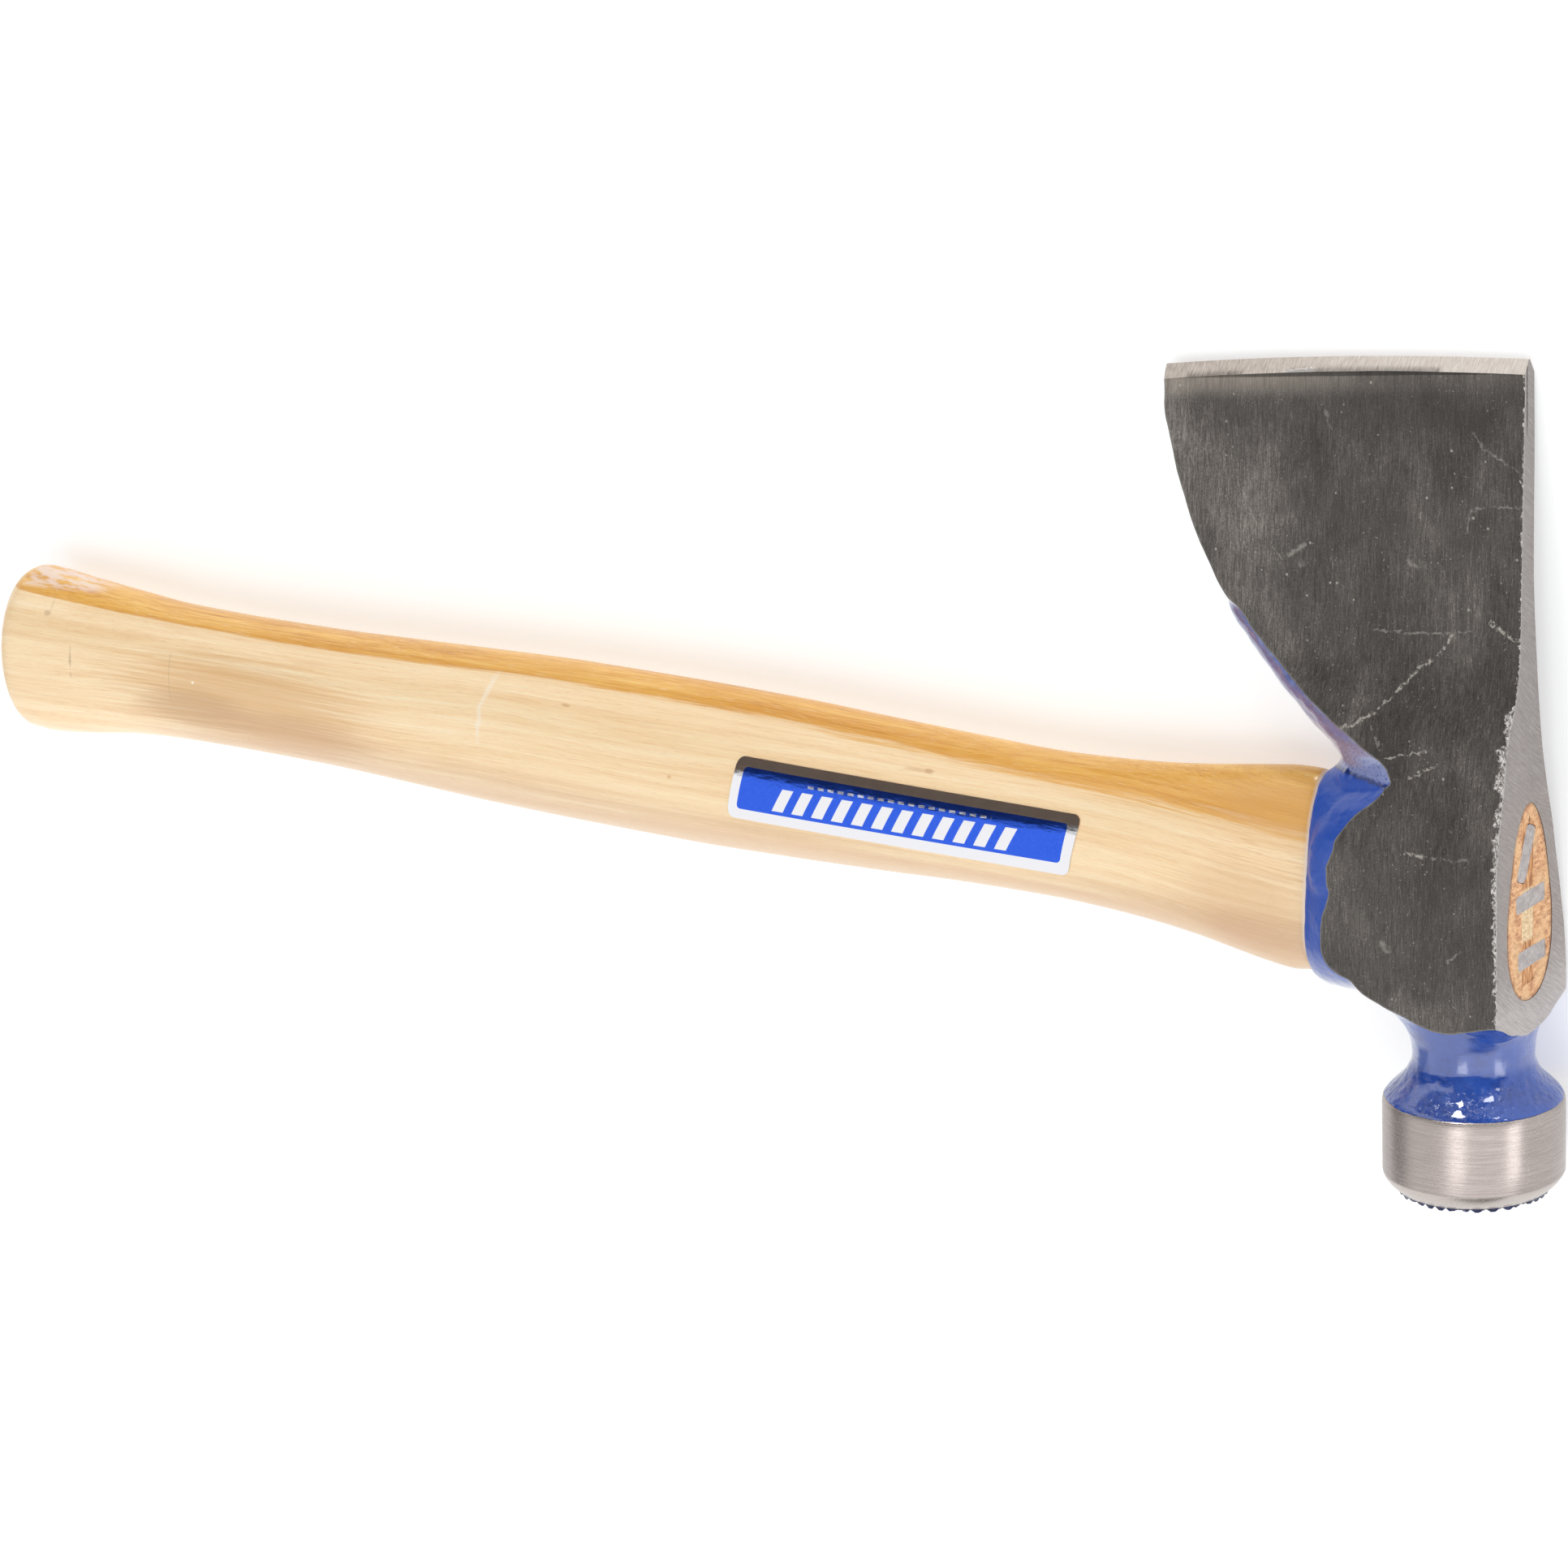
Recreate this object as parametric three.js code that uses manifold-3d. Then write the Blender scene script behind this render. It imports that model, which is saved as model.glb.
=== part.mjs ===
// Hammer-hatchet: a forged steel head (broad blade, eye block, collar, neck and
// round milled poll) on a straight hardwood handle, held by one wooden and three
// steel wedges, with a sticker on the handle's side.
//
// The pieces are described in the tool's own axes, in millimetres:
//   X along the handle, 0 at the head's ground end face, handle towards -X
//   Y from the poll (-Y) to the cutting edge (+Y), 0 at the middle of the eye
//   Z square to the cheeks, 0 at the middle of the handle
// The finished tool is then turned a few degrees so that it lies on its side as it
// would on a bench: on the poll's rim, the blade's edge and the handle's butt.
import * as THREE from 'three';
import { mergeVertices } from 'three/addons/utils/BufferGeometryUtils.js';
import Module from 'manifold-3d';

const wasm = await Module();
wasm.setup();

// ---------------------------------------------------------------- dimensions
const HANDLE_LENGTH = 431.0;       // end face to butt
const EDGE_LENGTH = 88.9;          // cutting edge, toe to heel
const EDGE_TILT = 6.32;            // degrees, heel lower than toe
const EDGE_BULGE = 1.1;            // convexity of the edge
const EDGE_THICK = 0.5;            // width of the blunt edge
const BEVEL = 2.9;                 // height of the edge bevel
const TOE_Y = 116.5;               // toe corner above the eye centre
const POLL_AXIS_X = -13.6;         // poll axis behind the end face
const POLL_R = 19.5;               // striking end radius
const POLL_RIM_R = 16.3;           // radius where the rounded chamfer meets the face
const POLL_CHAMFER_Y = -60.6;
const POLL_FACE_Y = -65.3;         // tips of the milled teeth
const NECK_R = 13.0;
const POLL_FACE_TILT = 0.9;        // degrees, face ground a little out of square
const TOOTH_PITCH = 2.5;
const TOOTH_DEPTH = 1.1;
const COLLAR_X = -49;              // end of the collar on the handle side
const GAP = 0.3;                   // clearance between neighbouring pieces
const LABEL_THICK = 0.25;
const LIE_TILT_X = -6.2989;           // degrees, turn about X to lie on the bench
const LIE_TILT_Y = -0.0944;           // degrees, turn about Y to lie on the bench

// half thickness of the head above and below the mid plane, by Y
const CHEEK_UPPER = [[-33, 13.9], [8, 13.9], [16.4, 12.9], [21.8, 11.9], [28.2, 10.6], [34, 9.6],
  [38, 8.6], [41, 7.4], [45, 5.7], [50, 4.5], [56.6, 3.8], [73.4, 3.2], [86, 2.75], [100.4, 2.2],
  [112, 1.75], [124, 1.6]];
const CHEEK_LOWER = [[-33, 15.4], [-18, 15.3], [-8, 14.4], [-3.2, 13.5], [3, 12.3], [10.2, 10.7], [16.2, 9.5],
  [23.6, 7.5], [34.6, 5.1], [42.6, 4.0], [55, 2.8], [64, 2.1], [72, 1.8], [85, 1.9], [100, 2.1], [112, 2.0],
  [124, 1.9]];

// blade outline: outer edge at the mid plane and at the cheeks, by Y
const BEARD_OUTER = [[22, -48], [22.9, -48], [24, -46.8], [25, -45.9], [26.3, -45.2], [27.6, -46.1],
  [29.2, -47.6], [30.7, -49.5], [33.8, -53.3], [37, -56.4], [40.1, -59.9], [43.3, -63],
  [46.5, -66.1], [49.8, -69], [53, -71.7], [56.4, -73.2], [58, -73.4], [60.9, -74.4], [64.2, -76.2],
  [70.8, -79.9], [77.5, -82.5], [84.3, -84.9], [91.2, -86.5], [98, -87.8], [104.3, -88.1],
  [124, -88.6]];
const BEARD_INNER = [[18, -27], [23, -26], [25.9, -27.2], [27.3, -28.1], [28.6, -28.9], [29.7, -30.2],
  [31.5, -34], [33.8, -37.9], [36.1, -42.4], [39, -47.2], [43.3, -53.9], [47.8, -59.7],
  [52.6, -65.1], [56.7, -69.0], [58, -71.2], [60.9, -73.5], [64.2, -75.4], [70.8, -79.1],
  [77.5, -81.8], [84.3, -84.3], [91.2, -86], [98, -87.5], [104.3, -87.7], [124, -88.4]];

// collar outline where it ends on the handle: half thickness by Y, from the bottom to the top
const COLLAR_RIM = [[-24.3, 0], [-23.9, 2.6], [-23, 4.7], [-21.6, 6.8], [-19.8, 8.6], [-16.3, 10.4],
  [-12.2, 11.1], [-6.7, 11.0], [-2.5, 10.6], [3.8, 9.9], [9.5, 9.0], [13.9, 8.0], [17.7, 6.4],
  [20.8, 4.2], [22.4, 2.0], [22.9, 0]];
// wood outline at the collar, and eye outline at the end face, in the same way
const TENON_FOOT = [[-22.4, 0], [-22.0, 2.4], [-21.2, 4.2], [-19.8, 5.9], [-17.8, 7.6], [-14.8, 9.1],
  [-11.2, 9.7], [-6.2, 9.6], [-2.2, 9.3], [3.6, 8.6], [9.0, 7.7], [13.2, 6.7], [16.8, 5.2],
  [19.8, 3.4], [21.4, 1.7], [21.9, 0]];
const EYE_MOUTH = [[-20.7, 0], [-20.4, 2.0], [-19.8, 3.6], [-18.6, 5.2], [-16.9, 6.6], [-14, 8.0],
  [-10.4, 9.0], [-5.4, 9.3], [-0.8, 9.1], [4.6, 8.2], [9.3, 7.3], [13.4, 6.3], [17, 5.0],
  [20, 3.3], [21.8, 1.6], [22.3, 0]];

// handle outline by X: top, bottom, greatest half thickness
const HANDLE = [
  [-432, 21.07, -20.72, 13.6], [-424, 21.27, -21.11, 13.5], [-412, 20.06, -20.07, 13.2],
  [-395, 18.39, -17.93, 12.7], [-378, 17.09, -16.99, 12.3], [-355, 16.74, -16.72, 12],
  [-330, 16.94, -16.9, 11.9], [-305, 17.67, -17.72, 12.1], [-280, 18.49, -18.64, 12.4],
  [-250, 19.24, -19.12, 12.8], [-220, 19.27, -19.27, 13], [-190, 18.85, -18.66, 13],
  [-165, 17.92, -17.85, 12.7], [-140, 17.11, -16.88, 12.2], [-120, 16.61, -16.65, 11.6],
  [-105, 17.1, -17.11, 11.1], [-92, 17.92, -18.02, 10.6], [-80, 19.22, -19.42, 10.2],
  [-70, 20.62, -21.11, 9.95], [-62, 21.72, -22.37, 9.85], [-56, 22.42, -22.97, 9.85],
  [-52.5, 22.51, -22.5, 9.8], [-50, 22.41, -22.4, 9.7]];
// egg-shaped section at mid length: share of the half thickness by share of the height, bottom to top
const GRIP_EGG = [[0, 0], [0.012, 0.22], [0.05, 0.44], [0.11, 0.655], [0.19, 0.835], [0.28, 0.95],
  [0.38, 1], [0.48, 0.985], [0.58, 0.935], [0.67, 0.86], [0.76, 0.755], [0.84, 0.635],
  [0.91, 0.49], [0.96, 0.335], [0.99, 0.165], [1, 0]];
// oval section at the butt, in the same way
const BUTT_OVAL = Array.from({ length: 16 }, (_, i) => {
  const a = (Math.PI * i) / 15;
  return [(1 - Math.cos(a)) / 2, Math.sin(a)];
});

// ---------------------------------------------------------------- helpers
const at = (table, y) => {
  if (y <= table[0][0]) return table[0][1];
  for (let i = 1; i < table.length; i++) {
    if (y <= table[i][0]) {
      const [y0, v0] = table[i - 1], [y1, v1] = table[i];
      return v0 + (v1 - v0) * (y - y0) / (y1 - y0);
    }
  }
  return table[table.length - 1][1];
};

// closed body through a row of rings that have the same number of points
function loft(rings) {
  const n = rings[0].length, pos = [], idx = [];
  for (const ring of rings) for (const p of ring) pos.push(p[0], p[1], p[2]);
  for (let k = 0; k + 1 < rings.length; k++) {
    for (let i = 0; i < n; i++) {
      const j = (i + 1) % n, a = k * n + i, b = k * n + j, c = a + n, d = b + n;
      idx.push(a, b, d, a, d, c);
    }
  }
  for (const [k, flip] of [[0, true], [rings.length - 1, false]]) {
    const flat = rings[k];
    const mid = [0, 1, 2].map((q) => flat.reduce((s, p) => s + p[q], 0) / n);
    const m = pos.length / 3;
    pos.push(...mid);
    for (let i = 0; i < n; i++) {
      const a = k * n + i, b = k * n + (i + 1) % n;
      if (flip) idx.push(m, b, a); else idx.push(m, a, b);
    }
  }
  const g = new THREE.BufferGeometry();
  g.setAttribute('position', new THREE.Float32BufferAttribute(pos, 3));
  g.setIndex(idx);
  return g;
}

function signedVolume(pos, tri) {
  let v = 0;
  for (let t = 0; t < tri.length; t += 3) {
    const [a, b, c] = [tri[t] * 3, tri[t + 1] * 3, tri[t + 2] * 3];
    v += pos[a] * (pos[b + 1] * pos[c + 2] - pos[b + 2] * pos[c + 1])
      - pos[a + 1] * (pos[b] * pos[c + 2] - pos[b + 2] * pos[c])
      + pos[a + 2] * (pos[b] * pos[c + 1] - pos[b + 1] * pos[c]);
  }
  return v / 6;
}

function solid(geometry) {
  const g = geometry.clone();
  g.deleteAttribute('normal');
  g.deleteAttribute('uv');
  const m = mergeVertices(g, 1e-4);
  const src = m.index.array, pos = m.attributes.position.array, tri = [];
  for (let t = 0; t < src.length; t += 3) {
    const [a, b, c] = [src[t], src[t + 1], src[t + 2]];
    if (a !== b && b !== c && c !== a) tri.push(a, b, c);
  }
  if (signedVolume(pos, tri) < 0) {
    for (let t = 0; t < tri.length; t += 3) [tri[t + 1], tri[t + 2]] = [tri[t + 2], tri[t + 1]];
  }
  return new wasm.Manifold(new wasm.Mesh({
    numProp: 3, vertProperties: new Float32Array(pos), triVerts: new Uint32Array(tri),
  }));
}

function geometryOf(manifold) {
  const m = manifold.getMesh();
  const g = new THREE.BufferGeometry();
  g.setAttribute('position', new THREE.Float32BufferAttribute(Float32Array.from(m.vertProperties), 3));
  g.setIndex(Array.from(m.triVerts));
  g.computeVertexNormals();
  return g;
}

// a flat outline in (Y, Z) pushed along X, or in (X, Y) pushed along Z
function prismAlongX(outline, x0, x1) {
  const g = new THREE.ExtrudeGeometry(new THREE.Shape(outline.map(([y, z]) => new THREE.Vector2(y, z))),
    { depth: x1 - x0, bevelEnabled: false });
  g.applyMatrix4(new THREE.Matrix4().set(0, 0, 1, x0, 1, 0, 0, 0, 0, 1, 0, 0, 0, 0, 0, 1));
  return g;
}
function prismAlongZ(outline, z0, z1) {
  const g = new THREE.ExtrudeGeometry(new THREE.Shape(outline.map(([x, y]) => new THREE.Vector2(x, y))),
    { depth: z1 - z0, bevelEnabled: false });
  g.translate(0, 0, z0);
  return g;
}

// ring in the plane X = x from a table of half thickness by Y
const ringFrom = (table, x, zs = 1, y0 = null, y1 = null, inset = 0) => {
  const a = table[0][0], b = table[table.length - 1][0], mid = (a + b) / 2;
  const map = (y) => (y0 === null ? y : y0 + (y1 - y0) * (y - a) / (b - a));
  const raw = [...table.map(([y, z]) => [map(y), z * zs]),
    ...table.slice(1, -1).reverse().map(([y, z]) => [map(y), -z * zs])];
  if (!inset) return raw.map(([y, z]) => [x, y, z]);
  const n = raw.length;
  return raw.map(([y, z], i) => {
    const p = raw[(i + n - 1) % n], q = raw[(i + 1) % n];
    let ny = (q[1] - p[1]), nz = -(q[0] - p[0]);
    const l = Math.hypot(ny, nz) || 1;
    ny /= l; nz /= l;
    if (ny * (y - map(mid)) + nz * z < 0) { ny = -ny; nz = -nz; }
    return [x, y - ny * inset, z - nz * inset];
  });
};

// ---------------------------------------------------------------- head
// blade and eye block as it is forged, a little thicker than the ground cheeks
function bladeBlank() {
  const ys = [124, 112, 104.3, 98, 91.2, 84.3, 77.5, 70.8, 64.2, 60.9, 58, 56.5, 53, 49.8, 46.5, 43.3,
    40.1, 37, 33.8, 31.5, 30, 28.6, 27.3, 26, 24.5, 23];
  const share = [0, 0.3, 0.55, 0.78, 0.93, 1.0];
  return ys.map((y) => {
    const up = at(CHEEK_UPPER, y), lo = at(CHEEK_LOWER, y);
    const xo = at(BEARD_OUTER, y), xi = at(BEARD_INNER, y);
    const side = (half) => share.map((s) => [xi + (xo - xi) * Math.sqrt(1 - s * s), half * s]);
    const upper = side(up), lower = side(lo);
    return [
      [4, y, up + 1], ...[[xi + 2.5, up + 1]].map(([x, z]) => [x, y, z]),
      ...upper.slice().reverse().map(([x, z]) => [x, y, z]),
      ...lower.slice(1).map(([x, z]) => [x, y, -z]),
      [xi + 2.5, y, -lo - 1], [4, y, -lo - 1],
    ];
  });
}
// collar and eye block: the collar outline grows towards the end face
function collarBlank() {
  const rows = [
    // x, thickness scale, top, bottom
    [COLLAR_X, 0.93, 22.3, -23.9], [COLLAR_X + 0.5, 0.97, 22.7, -24.4], [COLLAR_X + 1.3, 1.0, 22.9, -24.7],
    [-46, 1.09, 23.2, -24.9], [-42, 1.285, 23.7, -24.8], [-38, 1.43, 24.2, -24.5],
    [-34, 1.54, 25.0, -24.4], [-29, 1.63, 26.2, -25], [-22, 1.68, 30, -26], [-10, 1.7, 34, -26],
    [4, 1.7, 34, -26]];
  return rows.map(([x, zs, y1, y0]) => ringFrom(COLLAR_RIM, x, zs, y0, y1));
}
// neck: from a circle at the poll to a rounded square under the eye block
function neckBlank() {
  const rows = [
    // y, reach to the handle side, reach to the end face side, half z, squareness
    [-36.2, 13.1, 13.1, 13.1, 2], [-34.5, 13, 13, 13, 2], [-32.4, 13.1, 13.1, 13.1, 2.05],
    [-30.6, 13.5, 13.3, 13.4, 2.1], [-29.3, 13.9, 13.8, 13.7, 2.2], [-27.8, 14.3, 14.6, 14.1, 2.35],
    [-26.2, 15.6, 15.6, 14.6, 2.5], [-24.6, 17.8, 17.4, 15.4, 2.6], [-23, 20.4, 22.8, 16.4, 2.8],
    [-21, 23.4, 30, 17.6, 3.2], [-18, 25, 32, 18, 4]];
  const n = 40;
  return rows.map(([y, xl, xr, rz, e]) => Array.from({ length: n }, (_, i) => {
    const t = (2 * Math.PI * (i + 0.5)) / n, c = Math.cos(t), s = Math.sin(t);
    const k = Math.pow(Math.pow(Math.abs(c), e) + Math.pow(Math.abs(s), e), -1 / e);
    return [POLL_AXIS_X + (c < 0 ? xl : xr) * c * k, y, rz * s * k];
  }));
}
// poll: flare, striking cylinder, chamfer and face
function pollBlank() {
  const p = [[0, -33], [NECK_R - 0.2, -33], [NECK_R, -34.5], [NECK_R + 0.2, -36], [13.6, -37.4], [14.2, -38.7],
    [15.1, -39.9], [16.4, -41.2], [17.8, -42.4], [18.8, -43.4], [19.3, -44.4], [POLL_R, -45.6],
    [POLL_R, POLL_CHAMFER_Y], [19.15, -61.4], [18.4, -62.4], [17.3, -63.5], [POLL_RIM_R, -64.3],
    [POLL_RIM_R - 0.3, POLL_FACE_Y], [0, POLL_FACE_Y]];
  const g = new THREE.LatheGeometry(p.map(([r, y]) => new THREE.Vector2(r, y)), 40);
  tiltFace(g);
  g.translate(POLL_AXIS_X, 0, 0);
  return g;
}
// leans the face, its chamfer and the grooves cut in it by a fraction of a degree
function tiltFace(g) {
  const p = g.attributes.position, k = Math.tan(THREE.MathUtils.degToRad(POLL_FACE_TILT));
  for (let i = 0; i < p.count; i++) if (p.getY(i) < POLL_CHAMFER_Y + 0.1) p.setY(i, p.getY(i) + k * p.getX(i));
}
function makeHead() {
  let head = solid(loft(bladeBlank()))
    .add(solid(loft(collarBlank())))
    .add(solid(loft(neckBlank())))
    .add(solid(pollBlank()));
  // ground cheeks
  const y0 = -32.5, y1 = 124;
  const upper = CHEEK_UPPER.filter(([y]) => y > y0 && y < y1);
  const lower = CHEEK_LOWER.filter(([y]) => y > y0 && y < y1);
  head = head
    .subtract(solid(prismAlongX([[y0, at(CHEEK_UPPER, y0)], ...upper, [y1 + 4, 1.55], [y1 + 4, 40], [y0, 40]], -120, 30)))
    .subtract(solid(prismAlongX([[y0, -at(CHEEK_LOWER, y0)], ...lower.map(([y, z]) => [y, -z]), [y1 + 4, -1.45], [y1 + 4, -40], [y0, -40]], -120, 30)));
  // ground end face
  head = head.subtract(solid(prismAlongZ([[0, -32.5], [30, -32.5], [30, 140], [0, 140]], -60, 60)));
  // cutting edge: outline, then the two bevels
  const b = THREE.MathUtils.degToRad(EDGE_TILT);
  const e = [Math.cos(b), Math.sin(b)], n = [-Math.sin(b), Math.cos(b)];
  const edge = (t, off) => {
    const s = (t - 1) * EDGE_LENGTH, k = EDGE_BULGE * 4 * t * (1 - t) + off;
    return [s * e[0] + n[0] * k, TOE_Y + s * e[1] + n[1] * k];
  };
  const ts = Array.from({ length: 13 }, (_, i) => -0.12 + (1.24 * i) / 12);
  head = head.subtract(solid(prismAlongZ([...ts.map((t) => edge(t, 0)), [20, 150], [-110, 150]], -30, 30)));
  for (const side of [1, -1]) {
    const table = side > 0 ? CHEEK_UPPER : CHEEK_LOWER;
    const rings = ts.map((t) => {
      const base = edge(t, -BEVEL), zc = at(table, base[1]), slope = (zc - EDGE_THICK / 2) / BEVEL;
      const p = (off, z) => { const q = edge(t, off); return [q[0], q[1], side * z]; };
      return [p(4, EDGE_THICK / 2 - slope * 4), p(-BEVEL - 1, zc + slope), p(-BEVEL - 1, 12), p(4, 12)];
    });
    head = head.subtract(solid(loft(rings)));
  }
  // eye
  head = head.subtract(solid(loft([
    ringFrom(TENON_FOOT, COLLAR_X - 3, 1, null, null, -GAP), ringFrom(TENON_FOOT, COLLAR_X, 1, null, null, -GAP),
    ringFrom(EYE_MOUTH, 0), ringFrom(EYE_MOUTH, 4)])));
  // milled face: crossing V grooves leave a grid of pointed teeth
  const half = TOOTH_PITCH / 2 - 0.28;
  for (let k = -6; k <= 6; k++) {
    const c = k * TOOTH_PITCH;
    const gx = new THREE.ExtrudeGeometry(new THREE.Shape([
      new THREE.Vector2(c - half - 0.2, POLL_FACE_Y - 0.2), new THREE.Vector2(c + half + 0.2, POLL_FACE_Y - 0.2),
      new THREE.Vector2(c, POLL_FACE_Y + TOOTH_DEPTH)]), { depth: 60, bevelEnabled: false });
    gx.translate(0, 0, -30);
    const gz = gx.clone().rotateY(Math.PI / 2);
    for (const g of [gx, gz]) {
      tiltFace(g);
      g.translate(POLL_AXIS_X, 0, 0);
    }
    head = head.subtract(solid(gx)).subtract(solid(gz));
  }
  return head;
}

// ---------------------------------------------------------------- handle
function gripRing(x, top, bottom, half) {
  // the section turns from the butt's oval to the grip's egg and then to the outline of the collar's bore
  const w = THREE.MathUtils.smoothstep(x, -115, -56);
  const a = TENON_FOOT[0][0], c = TENON_FOOT[TENON_FOOT.length - 1][0];
  const m = THREE.MathUtils.smoothstep(x, -340, -190);
  const h = GRIP_EGG.map(([se, ke], i) => {
    const [fy, fz] = TENON_FOOT[i], [so, ko] = BUTT_OVAL[i];
    const s = so + (se - so) * m, k = ko + (ke - ko) * m;
    const sy = s + ((fy - a) / (c - a) - s) * w, sz = k + (fz / 9.7 - k) * w;
    return [bottom + (top - bottom) * sy, half * sz];
  });
  return [...h.map(([y, z]) => [x, y, z]), ...h.slice(1, -1).reverse().map(([y, z]) => [x, y, -z])];
}
function makeHandle(cuts) {
  const round = 4.2;                                  // rounded rim of the butt
  const rings = [];
  for (const [dx, s] of [[0, 0.80], [0.5, 0.885], [1.4, 0.94], [2.6, 0.98], [round, 1]]) {
    const x = -HANDLE_LENGTH + dx, k = s;
    const [, t, b, h] = HANDLE[0];
    const drop = 0.9 * (1 - dx / round);              // the rim is a little fuller on the poll side
    rings.push(gripRing(x, t * (0.45 + 0.55 * k) - drop, b * (0.45 + 0.55 * k) - drop, h * (0.35 + 0.65 * k)));
  }
  for (const [x, t, b, h] of HANDLE.slice(1)) rings.push(gripRing(x, t, b, h));
  rings.push(ringFrom(TENON_FOOT, COLLAR_X));
  rings.push(ringFrom(EYE_MOUTH, -0.3, 1, null, null, GAP));
  let handle = solid(loft(rings));
  for (const c of cuts) handle = handle.subtract(c);
  return handle;
}

// ---------------------------------------------------------------- wedges
// a tapered wedge driven into the end grain: width along its long side, thickness at the top,
// depth into the wood, centre (y, z) and turn about the handle axis
function wedge(width, thick, tip, depth, y, z, turn, top, grow = 0) {
  const w = width / 2 + grow, t = thick / 2 + grow, s = tip / 2 + grow;
  const shape = new THREE.Shape([new THREE.Vector2(-depth - grow, -s), new THREE.Vector2(top + (grow ? 3 : 0), -t - (grow ? 3 * (t - s) / depth : 0)),
    new THREE.Vector2(top + (grow ? 3 : 0), t + (grow ? 3 * (t - s) / depth : 0)), new THREE.Vector2(-depth - grow, s)]);
  const g = new THREE.ExtrudeGeometry(shape, { depth: 2 * w, bevelEnabled: false });
  g.translate(0, 0, -w);
  g.rotateX(THREE.MathUtils.degToRad(turn));
  g.translate(0, y, z);
  return g;
}
const STEEL = {
  // width, thickness, tip, depth, y, z, turn, top
  steel_wedge_upper: [12.4, 3.9, 0.8, 17, 11.6, 1.3, 68, -0.3],
  steel_wedge_middle: [11.6, 4.1, 0.8, 17, 1.4, -0.4, 3, -0.3],
  steel_wedge_lower: [11.2, 4.1, 0.8, 17, -11.2, -1.0, 3, -0.3],
};
const WOOD = [35, 5.2, 1.6, 32, 0.6, 0.8, 90, -0.35];

// ---------------------------------------------------------------- label
const LABEL = { x0: -202, x1: -107.5, y0: -8.0, y1: 7.6, r: 2.2 };
function sideZ(x, y) {
  let i = 1;
  while (i < HANDLE.length - 1 && HANDLE[i][0] < x) i++;
  const a = HANDLE[i - 1], b = HANDLE[i], f = (x - a[0]) / (b[0] - a[0]);
  const ra = gripRing(a[0], a[1], a[2], a[3]), rb = gripRing(b[0], b[1], b[2], b[3]);
  const ring = ra.slice(0, GRIP_EGG.length).map((p, k) => [p[1] + (rb[k][1] - p[1]) * f, p[2] + (rb[k][2] - p[2]) * f]);
  return at(ring, y);
}
function makeLabel() {
  const { x0, x1, y0, y1, r } = LABEL;
  // stations where the label's ends and the handle's own facets lie, so that it follows the wood
  const xs = [x0, x0 + 0.3 * r, x0 + r, ...HANDLE.map((h) => h[0]).filter((x) => x > x0 + r && x < x1 - r), x1 - r, x1 - 0.3 * r, x1];
  const ys = Array.from({ length: 9 }, (_, i) => i / 8);
  const rings = xs.map((x) => {
    const d = Math.min(x - x0, x1 - x);
    const cut = d < r ? r - Math.sqrt(Math.max(0, r * r - (r - d) ** 2)) : 0;
    const lo = y0 + cut, hi = y1 - cut;
    const line = ys.map((t) => lo + (hi - lo) * t);
    return [...line.map((y) => [x, y, sideZ(x, y) + GAP]), ...line.slice().reverse().map((y) => [x, y, sideZ(x, y) + GAP + LABEL_THICK])];
  });
  return loft(rings);
}

// ---------------------------------------------------------------- assembly
const steelPockets = Object.values(STEEL).map((v) => solid(wedge(...v, GAP)));
const woodPocket = solid(wedge(...WOOD, GAP));
let woodWedge = solid(wedge(...WOOD));
for (const p of steelPockets) woodWedge = woodWedge.subtract(p);

const tool = new THREE.Group();
function addMesh(name, geometry, color, roughness, metalness) {
  const mesh = new THREE.Mesh(geometry, new THREE.MeshStandardMaterial({ color, roughness, metalness }));
  mesh.name = name;
  tool.add(mesh);
  return mesh;
}
addMesh('head', geometryOf(makeHead()), 0x4a4a48, 0.45, 0.9);
addMesh('handle', geometryOf(makeHandle([...steelPockets, woodPocket])), 0xe6c896, 0.4, 0);
addMesh('wood_wedge', geometryOf(woodWedge), 0xd8bd96, 0.6, 0);
for (const [name, v] of Object.entries(STEEL)) addMesh(name, geometryOf(solid(wedge(...v))), 0x8c8c8c, 0.4, 0.9);
addMesh('handle_label', geometryOf(solid(makeLabel())), 0x2452c8, 0.25, 0);

// lay the tool down and put the origin under the middle of it, on the bench
tool.rotation.set(THREE.MathUtils.degToRad(LIE_TILT_X), THREE.MathUtils.degToRad(LIE_TILT_Y), 0, 'XYZ');
tool.updateMatrixWorld(true);
const box = new THREE.Box3();
const v = new THREE.Vector3();
tool.traverse((o) => {
  if (!o.isMesh) return;
  const p = o.geometry.attributes.position;
  for (let i = 0; i < p.count; i++) box.expandByPoint(v.fromBufferAttribute(p, i).applyMatrix4(o.matrixWorld));
});
tool.position.set(-(box.min.x + box.max.x) / 2, -(box.min.y + box.max.y) / 2, -box.min.z);
tool.updateMatrixWorld(true);

export default tool;
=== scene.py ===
import math
import bmesh
import bpy
import numpy as np
from mathutils import Matrix, Vector, noise
from mathutils.kdtree import KDTree


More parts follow.
